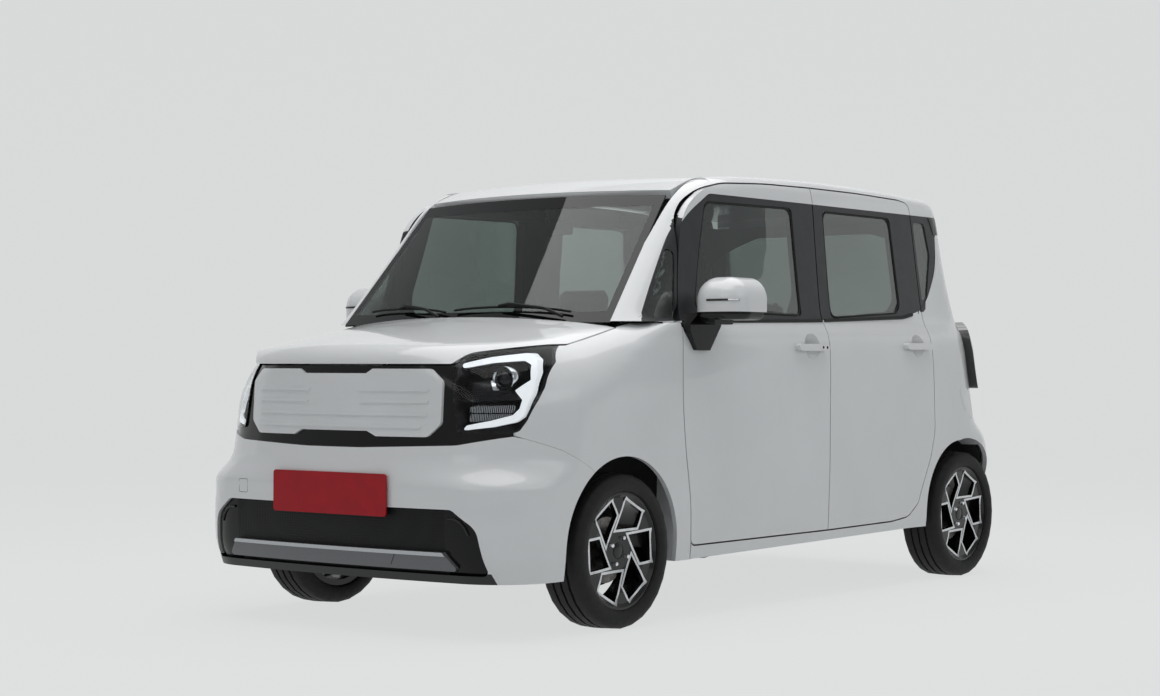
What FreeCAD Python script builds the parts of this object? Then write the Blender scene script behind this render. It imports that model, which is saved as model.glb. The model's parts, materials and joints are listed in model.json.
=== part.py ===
import FreeCAD
import Part
import Sketcher
import math
import os
from FreeCAD import Placement, Rotation, Vector

# A small tall five-door car. X points forward, Y to the car's left and Z up, with the
# origin on the ground under the middle of the car. Outlines are drawn at the stations
# of the standard car, and place() moves each station with the sizes in the sheet.

doc = FreeCAD.newDocument("car")
sheet = doc.addObject("Spreadsheet::Sheet", "Sizes")

# Driving sizes in millimetres, and angles in degrees
drivingSizes = {
    "wheelbase": 2520,
    "frontOverhang": 695,
    "rearOverhang": 380,
    "bodyWidth": 1595,
    "roofHeight": 1700,
    "beltHeight": 1130,
    "trackWidth": 1392,
    "tyreRadius": 278,
    "tyreWidth": 175,
    "rimRadius": 208,
    "hubBoreRadius": 30,
    "boltCircle": 100,
    "boltHoleRadius": 6.5,
    "discRadius": 118,
    "discThickness": 20,
    "archClearance": 44,
    "shutGap": 6,
    "seatGap": 0.3,
    "doorThickness": 100,
    "frameThickness": 38,
    "skinThickness": 18,
    "sashRecess": 1.5,
    "glassThickness": 5,
    "glassSetback": 6,
    "bonnetThickness": 36,
    "roofThickness": 34,
    "gateThickness": 60,
    "floorHeight": 243,
    "floorThickness": 20,
    "jackPadHeight": 14,
    "kingpinSetback": 56,
    "seatWidth": 480,
    "steeringWheelRadius": 182,
    "engineLength": 330,
    "engineWidth": 560,
    "engineHeight": 430,
    "plateWidth": 550,
    "plateHeight": 147,
}
for row, (alias, number) in enumerate(drivingSizes.items(), start=1):
    sheet.set("A%d" % row, alias)
    sheet.set("B%d" % row, str(number))
    sheet.setAlias("B%d" % row, alias)
doc.recompute()


def size(alias):
    return float(getattr(sheet, alias))


# The standard car's own stations
stdFrontAxle = 1102.5
stdRearAxle = -1417.5
stdFrontEnd = 1797.5
stdRearEnd = -1797.5
stdHalfWidth = 797.5
stdBelt = 1130
stdRoof = 1700
axleZone = 420

halfWidth = size("bodyWidth") / 2
bodyLength = size("frontOverhang") + size("wheelbase") + size("rearOverhang")
frontEnd = bodyLength / 2
frontAxle = frontEnd - size("frontOverhang")
rearAxle = frontAxle - size("wheelbase")
wheelY = size("trackWidth") / 2
gap = size("shutGap")
seat = size("seatGap")


def along(value, stations):
    """Moves a value on the standard car to this one, straight between the stations."""
    low, high = stations[0], stations[1]
    for low, high in zip(stations, stations[1:]):
        if value <= high[0]:
            break
    share = (value - low[0]) / (high[0] - low[0])
    return low[1] + share * (high[1] - low[1])


stationsX = [(stdRearEnd, -bodyLength / 2),
             (stdRearAxle - 340, rearAxle - 340 * size("rearOverhang") / 380),
             (stdRearAxle + axleZone, rearAxle + axleZone),
             (stdFrontAxle - axleZone, frontAxle - axleZone),
             (stdFrontAxle + 340, frontAxle + 340 * size("frontOverhang") / 695),
             (stdFrontEnd, frontEnd)]
stationsY = [(-stdHalfWidth, -halfWidth), (-400, -halfWidth + stdHalfWidth - 400),
             (400, halfWidth - stdHalfWidth + 400), (stdHalfWidth, halfWidth)]
stationsZ = [(0, 0), (660, 660), (stdBelt, size("beltHeight")),
             (stdRoof - 110, size("roofHeight") - 110), (stdRoof, size("roofHeight"))]


def place(x, y, z):
    return Vector(along(x, stationsX), along(y, stationsY), along(z, stationsZ))


def smooth(table):
    """A smooth curve through (at, value) pairs that never overshoots them."""
    spans = [b[0] - a[0] for a, b in zip(table, table[1:])]
    slopes = [(b[1] - a[1]) / span for a, b, span in zip(table, table[1:], spans)]
    tangents = [slopes[0]]
    for before, after in zip(slopes, slopes[1:]):
        tangents.append(0 if before * after <= 0 else 2 * before * after / (before + after))
    tangents.append(slopes[-1])

    def value(at):
        if at <= table[0][0]:
            return table[0][1] + tangents[0] * (at - table[0][0])
        if at >= table[-1][0]:
            return table[-1][1] + tangents[-1] * (at - table[-1][0])
        k = max(i for i in range(len(spans)) if at >= table[i][0])
        t = (at - table[k][0]) / spans[k]
        a, b = table[k][1], table[k + 1][1]
        rise = tangents[k] * spans[k], tangents[k + 1] * spans[k]
        return (a * (1 + 2 * t) * (1 - t) ** 2 + b * t * t * (3 - 2 * t)
                + rise[0] * t * (1 - t) ** 2 - rise[1] * t * t * (1 - t))
    return value


def ease(value, start, end):
    share = min(1, max(0, (value - start) / (end - start)))
    return share * share * (3 - 2 * share)


def blend(a, b, radius):
    """The greater of two distances, with the edge where they meet rounded."""
    if a > -radius and b > -radius:
        return math.hypot(a + radius, b + radius) - radius
    return max(a, b)


# The body's form: half width by height, and the ends' places, bows and corner radii
sideSection = smooth([(170, 772), (294, 786), (395, 790), (556, 795), (722, 796.5), (900, 797.5),
                      (994, 796), (1060, 785), (1100, 768), (1138, 752), (1358, 730),
                      (1523, 717), (1590, 711), (1640, 702), (1720, 686)])
noseStation = smooth([(190, 1745), (300, 1783), (400, 1790), (560, 1790), (620, 1783), (690, 1774),
                      (940, 1765), (1100, 1760)])
noseBow = smooth([(190, 60), (530, 68), (590, 148), (715, 162), (940, 179), (1100, 185)])
noseCorner = smooth([(190, 200), (530, 241), (590, 270), (715, 277), (940, 300), (1100, 310)])
tailStation = smooth([(170, -1750), (300, -1785), (400, -1797), (590, -1797), (640, -1780),
                      (680, -1742), (848, -1690), (1145, -1580), (1368, -1495), (1561, -1440),
                      (1640, -1415), (1720, -1390)])
tailBow = smooth([(170, 60), (600, 60), (690, 80), (1700, 80)])
tailCorner = smooth([(170, 160), (500, 170), (690, 235), (848, 240), (1145, 180), (1368, 155),
                     (1561, 135), (1700, 125)])
roofLine = smooth([(-1600, 1612), (-1565, 1626), (-1472, 1652), (-1245, 1672), (-900, 1686),
                   (-416, 1692), (31, 1682), (377, 1663), (579, 1600), (700, 1540)])
bonnetSlope = math.tan(math.radians(10.4))
screenSlope = 0.915
screenBow = 100


def sideY(x, z):
    bow = 3 + 12 * ease(z, 1100, 1400) * (x > -300)
    return sideSection(z) - bow * ((x + 300) / 1000) ** 2


def sideField(x, y, z):
    return y - sideY(x, z)


def endField(x, y, station, bow, forward):
    """Distance in front of (or behind) the bowed face of the car's end."""
    share = y / stdHalfWidth
    slope = 2 * bow * share / stdHalfWidth
    return ((x - station) * forward + bow * share * share) / math.hypot(1, slope)


def bonnetField(x, y, z):
    height = 1117 - (x - 1130) * bonnetSlope - 60 * abs(y / 690) ** 2.2
    return (z - height) * math.cos(math.radians(10.4))


def noseField(x, y, z):
    front = endField(x, y, noseStation(z), noseBow(z), 1)
    outside = blend(sideField(x, y, z), front, noseCorner(z))
    corner = ease(y, 300, 650) * ease(x, 820, 1400)
    edge = 4 + 61 * ease(x, 780, 1150) + 135 * corner
    return blend(outside, bonnetField(x, y, z), edge)


def roofField(x, y, z):
    crown = 1 - min(1, (y / 599) ** 2)
    return z - roofLine(x - screenBow * crown * ease(x, 0, 600)) - 6 * crown


def cabinField(x, y, z):
    rear = endField(x, y, tailStation(z), tailBow(z), -1)
    outside = blend(sideField(x, y, z), rear, tailCorner(z))
    return blend(outside, min(roofField(x, y, z), z - 1645), 50)


def screenX(y, z):
    return 1130 - screenBow * (y / 662) ** 2 - screenSlope * (z - 1100)


def pillarField(x, y, z):
    screen = (x - screenX(y, z)) / math.hypot(1, screenSlope)
    outside = blend(sideField(x, y, z), screen, 85)
    return blend(outside, roofField(x, y, z), 50)


def reach(field, start, heading, near=0.0, far=1500.0):
    """The point where a line from start leaves the body."""
    for _ in range(28):
        middle = (near + far) / 2
        at = start + heading * middle
        if field(at.x, at.y, at.z) < 0:
            near = middle
        else:
            far = middle
    return start + heading * near


def normalAt(field, at):
    step = 1.0
    here = field(at.x, at.y, at.z)
    slope = Vector(field(at.x + step, at.y, at.z) - here, field(at.x, at.y + step, at.z) - here,
                   field(at.x, at.y, at.z + step) - here)
    return slope.normalize()


def evenly(start, end, count):
    return [start + (end - start) * i / (count - 1) for i in range(count)]


def heading(plan, lift=0.0):
    return Vector(math.cos(math.radians(plan)) * math.cos(math.radians(lift)),
                  math.sin(math.radians(plan)) * math.cos(math.radians(lift)),
                  math.sin(math.radians(lift)))


def wrapPoints(field, rays, heights, lifts, shoulder):
    """Points on the body, one row for each plan ray: level lines, then a fan over the edge."""
    rows = []
    for x, plan in rays:
        level = [reach(field, Vector(x, 0, z), heading(plan)) for z in heights]
        hinge = level[-1] - heading(plan) * shoulder
        rows.append(level + [reach(field, hinge, heading(plan, lift), far=400) for lift in lifts])
    return rows


def across(rows):
    """Rows that end on the centre line, carried on to the other side."""
    other = [[Vector(p.x, -p.y, p.z) for p in row] for row in reversed(rows[:-1])]
    return rows + other


def spacing(lines):
    """Shared parameters for lines of points: their mean distance along, from 0 to 1."""
    sums = [0.0]
    for i in range(1, len(lines[0])):
        sums.append(sums[-1] + sum((line[i] - line[i - 1]).Length for line in lines) / len(lines))
    return [value / sums[-1] for value in sums]


def splined(points, parameters):
    curve = Part.BSplineCurve()
    curve.interpolate(Points=points, Parameters=parameters)
    return curve


def skin(rows):
    """One smooth surface through rows of points, made as curves along and then across."""
    grid = [[place(p.x, p.y, p.z) for p in row] for row in rows]
    columns = [list(column) for column in zip(*grid)]
    alongRow, acrossRows = spacing(grid), spacing(columns)
    rowCurves = [splined(row, alongRow) for row in grid]
    poleColumns = [list(poles) for poles in zip(*[curve.getPoles() for curve in rowCurves])]
    columnCurves = [splined(poles, acrossRows) for poles in poleColumns]
    poles = [list(line) for line in zip(*[curve.getPoles() for curve in columnCurves])]
    u, v = columnCurves[0], rowCurves[0]
    surface = Part.BSplineSurface()
    surface.buildFromPolesMultsKnots(poles, u.getMultiplicities(), v.getMultiplicities(),
                                     u.getKnots(), v.getKnots(), False, False, 3, 3)
    return surface


def slabBetween(outer, inner):
    """A closed wall between two skins with matching rows of points."""
    first, second = skin(outer), skin(inner)
    faces = [first.toShape(), second.toShape()]
    u0, u1, v0, v1 = first.bounds()
    s0, s1, t0, t1 = second.bounds()
    for a, b in ((first.uIso(u0), second.uIso(s0)), (first.uIso(u1), second.uIso(s1)),
                 (first.vIso(v0), second.vIso(t0)), (first.vIso(v1), second.vIso(t1))):
        faces.append(Part.makeRuledSurface(a.toShape(), b.toShape()))
    shell = Part.makeShell(faces)
    shell.sewShape()
    solid = Part.makeSolid(shell)
    if solid.Volume < 0:
        solid.reverse()
    return solid


def slab(field, rows, start, end):
    """A wall that follows the body from one depth below its skin to another."""
    def sunk(depth):
        grid = []
        for row in rows:
            line = []
            for p in row:
                side = Vector(p.x, abs(p.y), p.z)
                out = normalAt(field, side)
                if p.y < 0:
                    out.y = -out.y
                line.append(p - out * (depth(p) if callable(depth) else depth))
            grid.append(line)
        return grid
    return slabBetween(sunk(start), sunk(end))


# Outlines: corners as (a, b) or (a, b, radius) in one view, extruded through the body
viewTurns = {
    "side": Rotation(Vector(1, 0, 0), Vector(0, 0, 1), Vector(0, -1, 0), "XYZ"),
    "front": Rotation(Vector(0, 1, 0), Vector(0, 0, 1), Vector(1, 0, 0), "XYZ"),
    "top": Rotation(Vector(1, 0, 0), Vector(0, 1, 0), Vector(0, 0, 1), "XYZ"),
}


def placed(view, a, b):
    if view == "side":
        p = place(a, 0, b)
        return Vector(p.x, p.z, 0)
    if view == "front":
        p = place(0, a, b)
        return Vector(p.y, p.z, 0)
    p = place(a, b, 0)
    return Vector(p.x, p.y, 0)


def grown(points, radii, grow):
    """Corners of the outline moved outwards by grow, with the rounding to match."""
    count = len(points)
    turned = sum(points[i].x * points[(i + 1) % count].y - points[(i + 1) % count].x * points[i].y
                 for i in range(count))
    way = 1 if turned > 0 else -1
    moved, newRadii = [], []
    for i in range(count):
        arriving = (points[i] - points[i - 1]).normalize()
        leaving = (points[(i + 1) % count] - points[i]).normalize()
        normal = Vector(arriving.y, -arriving.x, 0) * way + Vector(leaving.y, -leaving.x, 0) * way
        moved.append(points[i] + normal * (2 * grow / normal.dot(normal)))
        convex = arriving.cross(leaving).z * way > 0
        newRadii.append(max(0, radii[i] + (grow if convex else -grow)) if radii[i] else 0)
    return moved, newRadii


def outlineWire(view, corners, grow=0.0):
    points = [placed(view, c[0], c[1]) for c in corners]
    radii = [c[2] if len(c) > 2 else 0 for c in corners]
    points, radii = grown(points, radii, grow)
    count = len(points)
    ends = []
    arcs = []
    for i in range(count):
        here = points[i]
        back = points[i - 1] - here
        ahead = points[(i + 1) % count] - here
        half = back.getAngle(ahead) / 2
        if radii[i] <= 0 or abs(half - math.pi / 2) < 0.005:
            ends.append((here, here))
            arcs.append(None)
            continue
        cut = min(radii[i] / math.tan(half), back.Length * 0.49, ahead.Length * 0.49)
        radius = cut * math.tan(half)
        one = here + back.normalize() * cut
        two = here + ahead.normalize() * cut
        bisector = (back + ahead).normalize()
        middle = here + bisector * (radius / math.sin(half) - radius)
        ends.append((one, two))
        arcs.append(Part.Arc(one, middle, two).toShape())
    edges = []
    for i in range(count):
        if arcs[i]:
            edges.append(arcs[i])
        start, stop = ends[i][1], ends[(i + 1) % count][0]
        if start.distanceToPoint(stop) > 1e-6:
            edges.append(Part.makeLine(start, stop))
    return Part.Wire(edges)


def prism(view, corners, low, high, grow=0.0):
    """The outline's solid between two real places along the line of sight."""
    face = Part.Face(outlineWire(view, corners, grow))
    normal = {"side": Vector(0, -1, 0), "front": Vector(1, 0, 0), "top": Vector(0, 0, 1)}[view]
    face.Placement = Placement(Vector(0, 0, 0), viewTurns[view])
    if view == "side":
        face.translate(Vector(0, high, 0))
    elif view == "front":
        face.translate(Vector(low, 0, 0))
    else:
        face.translate(Vector(0, 0, low))
    return face.extrude(normal * (high - low))


def mirrored(shape):
    return shape.mirror(Vector(0, 0, 0), Vector(0, 1, 0))


def both(shape):
    return Part.makeCompound(solidsOf(shape) + solidsOf(mirrored(shape)))


def solidsOf(shape, least=1000.0):
    return [solid for solid in shape.Solids if solid.Volume > least]


def largest(shape):
    return max(shape.Solids, key=lambda solid: solid.Volume)


# Every kept sub-part, by its label
parts = []


def keep(label, shape):
    solids = solidsOf(shape, 1.0)
    feature = doc.addObject("Part::Feature", label)
    feature.Label = label
    feature.Shape = solids[0] if len(solids) == 1 else Part.makeCompound(solids)
    parts.append(feature)
    return feature


# Rays and heights on which the skins are measured
sideRays = [(x, 90) for x in evenly(820, -1100, 25)] + [(-1100, a) for a in evenly(94, 180, 22)]
tailRays = [(-1100, a) for a in evenly(104, 180, 20)]
noseRays = [(x, 90) for x in evenly(690, 1250, 8)] + [(1250, a) for a in evenly(85, 0, 24)]
sideHeights = evenly(172, 1590, 31)
noseHeights = evenly(188, 860, 17)
roofLifts = evenly(9, 90, 9)
noseLifts = evenly(7, 82, 12)

sideRows = wrapPoints(cabinField, sideRays, sideHeights, roofLifts, 160)
tailRows = across(wrapPoints(cabinField, tailRays, sideHeights, roofLifts, 160))
noseRows = wrapPoints(noseField, noseRays, noseHeights, noseLifts, 200)
wholeNoseRows = across(noseRows)


def wallDepth(p):
    lower = size("doorThickness") - size("frameThickness")
    return size("frameThickness") + lower * (1 - ease(p.z, 1090, 1250))


sideWall = slab(cabinField, sideRows, 0, wallDepth)
sideSash = slab(cabinField, sideRows, -3, size("sashRecess"))
sideGlass = slab(cabinField, sideRows, size("glassSetback"),
                 size("glassSetback") + size("glassThickness"))
rebateDepth = 24
rebateWall = slab(cabinField, sideRows, rebateDepth, lambda p: wallDepth(p) + 4)

# Side outlines, at the middle of each shut line
doorFrontLine = [(700, 272, 30), (705, 420, 600), (745, 626, 900), (765, 810, 900), (765, 1000, 900),
                 (743, 1094, 400), (703, 1290, 900), (658, 1483, 500), (596, 1556, 240),
                 (505, 1608, 300), (380, 1636, 600)]
doorTopLine = [(84, 1652, 3000), (-255, 1657)]
postLine = [(-255, 274)]
frontDoor = doorFrontLine + doorTopLine + postLine
rearDoor = [(-255, 274), (-255, 1657), (-620, 1658, 3000), (-965, 1651, 300), (-1046, 1640, 40),
            (-1054, 1574, 300), (-1069, 1396, 900), (-1086, 1212, 900), (-1097, 1034, 900),
            (-1112, 860, 600), (-1124, 650, 160), (-1088, 540, 300), (-1035, 444, 500),
            (-987, 346, 60), (-905, 293, 120), (-766, 280, 600)]
frontGlass = [(628, 1140, 30), (500, 1560, 40), (-95, 1567, 25), (-114, 1131, 25)]
rearGlass = [(-331, 1127, 25), (-325, 1568, 25), (-870, 1568, 30), (-914, 1159, 60)]
quarterGlass = [(-1072, 1560, 20), (-1170, 1560, 30), (-1205, 1420, 60), (-1150, 1225, 30),
                (-1108, 1215, 20)]
sashOutline = [(965, 1094, 20), (738, 1101, 900), (-235, 1120, 900), (-920, 1146, 900),
               (-1120, 1180, 300), (-1247, 1360, 300), (-1262, 1500, 60), (-1290, 1590, 20),
               (470, 1590, 60), (658, 1482, 900)]
triangleGlass = [(940, 1108, 20), (760, 1112, 12), (690, 1430, 20)]
archRadius = size("tyreRadius") + size("archClearance")


def archCut(axle, width, flare=0):
    """The wheel's arch through the side wall, from below."""
    low = halfWidth - width
    centre = Vector(axle, low, size("tyreRadius") + 15)
    tube = Part.makeCylinder(archRadius, 2 * width, centre, Vector(0, 1, 0))
    base = Part.makeBox(2 * archRadius, 2 * width, centre.z, Vector(axle - archRadius, low, 0))
    shape = tube.fuse(base)
    if flare:
        lip = Part.makeCylinder(archRadius - 32, 2 * width, centre + Vector(flare, 0, 25), Vector(0, 1, 0))
        foot = Part.makeBox(archRadius - 32, 2 * width, centre.z + 25, Vector(axle + flare, low, 0))
        shape = shape.fuse([lip, foot])
    return shape.removeSplitter()


deep = 2 * halfWidth
frontArch = archCut(frontAxle + 7, 420)
rearArch = archCut(rearAxle, 420, 62)

# Doors: the wall inside the shut line, less its window and the sunk band round the glass
sashBand = sideSash.common(prism("side", sashOutline, 0, deep))


def doorShape(outline, window):
    """A door whose inner part is smaller than its skin, so that it clears as it swings."""
    door = sideWall.common(prism("side", outline, 0, deep, -gap / 2))
    inner = prism("side", outline, 0, deep, -gap / 2 - 8)
    door = door.cut(rebateWall.common(prism("side", outline, 0, deep, 2).cut(inner)))
    door = door.cut(prism("side", window, 0, deep))
    return largest(door.cut(sashBand))


def glassShape(window):
    return largest(sideGlass.common(prism("side", window, 0, deep, -seat)))


frontDoorShape = doorShape(frontDoor, frontGlass)
rearDoorShape = doorShape(rearDoor, rearGlass)


def lug(view, corners, low, high, start, end):
    """A hinge leaf inside a door's wall, which reaches out of it across the gap."""
    return slab(cabinField, sideRows, start, end).common(prism(view, corners, low, high))


# Hinge leaves of the front doors reach the front post, and those of the rear doors the middle post
leafHeights = (470, 900)
reachOver = gap / 2 - seat
frontLeaves = []
for z in leafHeights:
    edge = along(z, [(420, 705), (626, 745), (810, 765), (1000, 765)])
    leaf = lug("side", [(edge - 40, z - 30), (edge + 20, z - 30), (edge + 20, z + 30), (edge - 40, z + 30)],
               0, deep, 50, 75)
    frontLeaves += leaf.common(prism("side", frontDoor, 0, deep, reachOver)).Solids
frontDoorShape = largest(frontDoorShape.fuse(frontLeaves))
rearLeaves = []
for z in leafHeights:
    rearLeaves += lug("side", [(-300, z - 30), (-262, z - 30), (-262, z + 30), (-300, z + 30)], 0, deep,
                      lambda p: wallDepth(p) - 10, lambda p: wallDepth(p) + gap + 2 - seat).Solids
rearDoorShape = largest(rearDoorShape.fuse(rearLeaves))


# Door handles: a bar on two feet over a scooped cup, on the doors' skin
def withHandle(door, x, z):
    patch = [[reach(cabinField, Vector(a, 0, b), heading(90)) for b in evenly(z - 50, z + 50, 5)]
             for a in evenly(x + 150, x - 150, 9)]
    handleWall = slab(cabinField, patch, -24, -9)
    footWall = slab(cabinField, patch, -12, 4)
    low, high = z - 15, z + 13
    cup = Part.makeSphere(78, place(x - 20, stdHalfWidth + 50, z + 10))
    bar = handleWall.common(prism("side", [(x - 112, low, 12), (x + 108, low, 12), (x + 108, high, 12),
                                           (x - 112, high, 12)], 0, deep))
    handle = [largest(bar)]
    for start, end in ((x - 110, x - 62), (x + 66, x + 106)):
        foot = footWall.common(prism("side", [(start, low + 3, 8), (end, low + 3, 8), (end, high - 3, 8),
                                              (start, high - 3, 8)], 0, deep))
        handle.append(largest(foot))
    return largest(door.cut(cup).fuse(handle))


frontDoorShape = withHandle(frontDoorShape, -103, 1010)
rearDoorShape = withHandle(rearDoorShape, -958, 1020)
for label, shape in (("front_door", frontDoorShape), ("rear_door", rearDoorShape)):
    keep(label + "_left", shape)
    keep(label + "_right", mirrored(shape))
for label, window in (("front_door_glass", frontGlass), ("rear_door_glass", rearGlass)):
    shape = glassShape(window)
    keep(label + "_left", shape)
    keep(label + "_right", mirrored(shape))

# The room that the doors take up, with the gap round them
doorSpace = slab(cabinField, sideRows, -5, lambda p: wallDepth(p) + gap)
doorOpenings = prism("side", frontDoor, 0, deep, gap).fuse(prism("side", rearDoor, 0, deep, gap))
doorSpace = doorSpace.common(doorOpenings)

# Roof: between the two ditches, from the windscreen to the tailgate
roofRear = -1395
ditch = smooth([(-1450, 556), (-1300, 566), (-900, 582), (0, 592), (579, 599), (700, 602)])
up, forward = Vector(0, 0, 1), Vector(1, 0, 0)


def roofRow(share):
    line = []
    front = 676 - screenBow * share * share
    for x in evenly(roofRear, front, 26):
        line.append(reach(roofField, Vector(x, share * ditch(x), 1200), up, far=700))
    return line


roofRows = [roofRow(share) for share in evenly(-1, 1, 21)]
roofPanel = slab(roofField, roofRows, 0, size("roofThickness"))
keep("roof_panel", roofPanel)
ditchOutline = ([(x, ditch(x) + 2) for x in (-1395, -900, 0, 579)] + [(720, 602), (720, -602)]
                + [(x, -ditch(x) - 2) for x in (579, 0, -900, -1395)])
topHigh = size("roofHeight") + 300
roofHole = prism("top", ditchOutline, place(0, 0, 1590).z, topHigh)

# Tailgate and rear lamps, drawn from behind
gateOutline = [(-600, 652, 60), (-612, 848, 200), (-596, 1145, 900), (-575, 1500, 400), (-553, 1640, 60),
               (-553, 1760), (553, 1760), (553, 1640, 60), (575, 1500, 400), (596, 1145, 900),
               (612, 848, 200), (600, 652, 60)]
gateGlass = [(-520, 1150, 60), (-490, 1540, 50), (490, 1540, 50), (520, 1150, 60)]
lampOutline = [(-1500, 1132, 30), (-1400, 1072, 60), (-1500, 835, 30), (-1720, 835, 20), (-1720, 1132, 20)]
bumperTop = 645
lampDepth = 45
lampProud = 38
rearLow = -bodyLength / 2 - 50
roofEdge = place(roofRear, 0, 0).x

tailWall = slab(cabinField, tailRows, 0, size("gateThickness"))
tailGlassWall = slab(cabinField, tailRows, size("glassSetback"),
                     size("glassSetback") + size("glassThickness"))
gatePrism = prism("front", gateOutline, rearLow, roofEdge - gap, -gap / 2)
gateHole = prism("front", gateOutline, rearLow, roofEdge, gap / 2)
gateShape = tailWall.common(gatePrism).cut(prism("front", gateGlass, rearLow, roofEdge))
spoilerProfile = [(-1401, 1600), (-1401, 1655), (-1472, 1652, 300), (-1562, 1629, 8), (-1568, 1606, 10),
                  (-1500, 1580, 80), (-1440, 1566, 20)]
spoilerHalf = place(0, 545, 0).y
spoiler = prism("side", spoilerProfile, -spoilerHalf, spoilerHalf)
gateLeaves = []
for side in (1, -1):
    leaf = prism("side", [(-1415, 1634), (roofRear + 8, 1634), (roofRear + 8, 1650), (-1415, 1650)],
                 side * 420 - 30, side * 420 + 30).cut(roofPanel)
    leaf = max(leaf.Solids, key=lambda solid: -solid.CenterOfMass.x)
    leaf.translate(Vector(-seat, 0, 0))
    gateLeaves.append(leaf)
gate = largest(largest(gateShape).fuse([spoiler] + gateLeaves))
keep("tailgate", gate)
keep("tailgate_glass", largest(tailGlassWall.common(prism("front", gateGlass, rearLow, roofEdge, -seat))))

# Rear bumper: the tail's skin below the gate, round to the wheel arches
bumperSide = [(-1560, 190), (-1560, bumperTop), (-1900, bumperTop), (-1900, 190)]
bumperWall = slab(cabinField, tailRows, 0, size("skinThickness"))
rearBumper = bumperWall.common(prism("side", bumperSide, -deep, deep))
rearBumper = rearBumper.cut(rearArch).cut(mirrored(rearArch))
keep("rear_bumper", largest(rearBumper))

# Body sides: all of the side wall that is no door, glass, lamp, gate or bumper
postFront = 785
sideBorder = [(postFront, 221), (postFront, 1090), (430, 1090), (430, 1800), (-1900, 1800), (-1900, 646),
              (-1560, 646), (-1560, 240), (-911, 244)]
bodySide = sideWall.common(prism("side", sideBorder, 0, deep))
for outline in (frontDoor, rearDoor):
    bodySide = bodySide.cut(prism("side", outline, 0, deep, gap / 2))
fenderEdge = [(c[0], c[1]) for c in doorFrontLine[:6]]
aheadOfDoor = prism("side", [(700, 100)] + fenderEdge + [(743, 1300), (1100, 1300), (1100, 100)],
                    0, deep, gap)
bodySide = bodySide.cut(slab(cabinField, sideRows, -10, size("skinThickness") + 0.5).common(aheadOfDoor))


# The middle post stands behind both doors' edges, from the sill to the rail over them
postHeights = [240, 500, 800, 1090, 1130, 1170, 1210, 1250, 1400, 1540]


def postInside(reachIn):
    spots = [Vector(-255, sideY(-255, z), z) for z in postHeights]
    return [(spot.y - wallDepth(spot) - reachIn, spot.z) for spot in spots]


postGap = gap + 2
postProfile = (postInside(postGap) + [(634, 1630), (630, 1664), (597, 1664)]
               + postInside(postGap + 40)[::-1])
middlePost = largest(prism("front", postProfile, place(-315, 0, 0).x, place(-195, 0, 0).x).cut(doorSpace))
sillWall = slab(cabinField, sideRows, 12, size("doorThickness") + postGap + 30).common(
    prism("side", [(postFront - 90, 228), (postFront - 90, 262), (-895, 272), (-895, 252)], 0, deep))
bodySide = bodySide.fuse([middlePost, largest(sillWall)])
for hole in (rearArch, gateHole, roofHole, prism("side", quarterGlass, 0, deep)):
    bodySide = bodySide.cut(hole)
lampRays = [[reach(cabinField, Vector(-1100, 0, z), heading(angle)) for angle in evenly(104, 144, 21)]
            for z in evenly(790, 1180, 14)]
lampPrism = prism("side", lampOutline, halfWidth - 420, deep)
lampShape = slab(cabinField, lampRays, -lampProud, lampDepth).common(lampPrism).cut(gateHole)
bodySide = bodySide.cut(slab(cabinField, sideRows, -20, lampDepth + seat).common(lampPrism))
bodySide = largest(bodySide.cut(sashBand))
fuelOutline = [(-1365, 863, 30), (-1343, 823, 20), (-1386, 748, 30), (-1464, 695, 20), (-1490, 730, 30),
               (-1440, 830, 30)]
flapGroove = prism("side", fuelOutline, 0, deep).cut(prism("side", fuelOutline, 0, deep, -3))
keep("body_side_left", largest(bodySide.cut(flapGroove.common(slab(cabinField, sideRows, -20, 5)))))
keep("body_side_right", mirrored(bodySide))
keep("tail_lamps", both(largest(lampShape)))
quarterPane = largest(sideGlass.common(prism("side", quarterGlass, 0, deep, -seat)))

# Windscreen and its pillars
def screenRows(depth):
    out = Vector(1, 0, screenSlope).normalize() * depth
    rows = []
    for share in evenly(-1, 1, 21):
        line = []
        for rise in evenly(0, 1, 14):
            y = share * (662 - 63 * rise)
            z = 1100 - 7 * share * share + rise * (490 - share * share)
            line.append(Vector(screenX(y, z), y, z) - out)
        rows.append(line)
    return rows


keep("windscreen", slabBetween(screenRows(2), screenRows(8)))


def pillarRow(plan):
    line = []
    for z in evenly(1092, 1646, 15):
        centre = Vector(screenX(700, z) - 150, 600, z)
        line.append(reach(pillarField, centre, heading(plan), far=600))
    return line


pillarRows = [pillarRow(plan) for plan in evenly(118, 8, 20)]
pillarDepth = 34
pillarFront = [(662.5, 1090), (599.5, 1586), (599.5, 1800), (900, 1800), (900, 1090)]
pillar = slab(pillarField, pillarRows, 0, pillarDepth)
pillar = pillar.common(prism("front", pillarFront, 0, frontEnd))
pillar = pillar.common(prism("side", [(430.3, 1096), (430.3, 1800), (1200, 1800), (1200, 1096)], 0, deep))
pillar = pillar.cut(prism("side", frontDoor, 0, deep, gap / 2))
pillar = pillar.cut(prism("side", triangleGlass, 0, deep))
pillarSash = slab(pillarField, pillarRows, -3, size("sashRecess"))
pillar = pillar.cut(pillarSash.common(prism("side", sashOutline, 0, deep)))
keep("windscreen_pillars", both(largest(pillar)))
pillarGlass = slab(pillarField, pillarRows, size("glassSetback"),
                   size("glassSetback") + size("glassThickness"))
trianglePane = largest(pillarGlass.common(prism("side", triangleGlass, 0, deep, -seat)))
keep("fixed_side_windows", Part.makeCompound([quarterPane, mirrored(quarterPane),
                                              trianglePane, mirrored(trianglePane)]))

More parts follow.
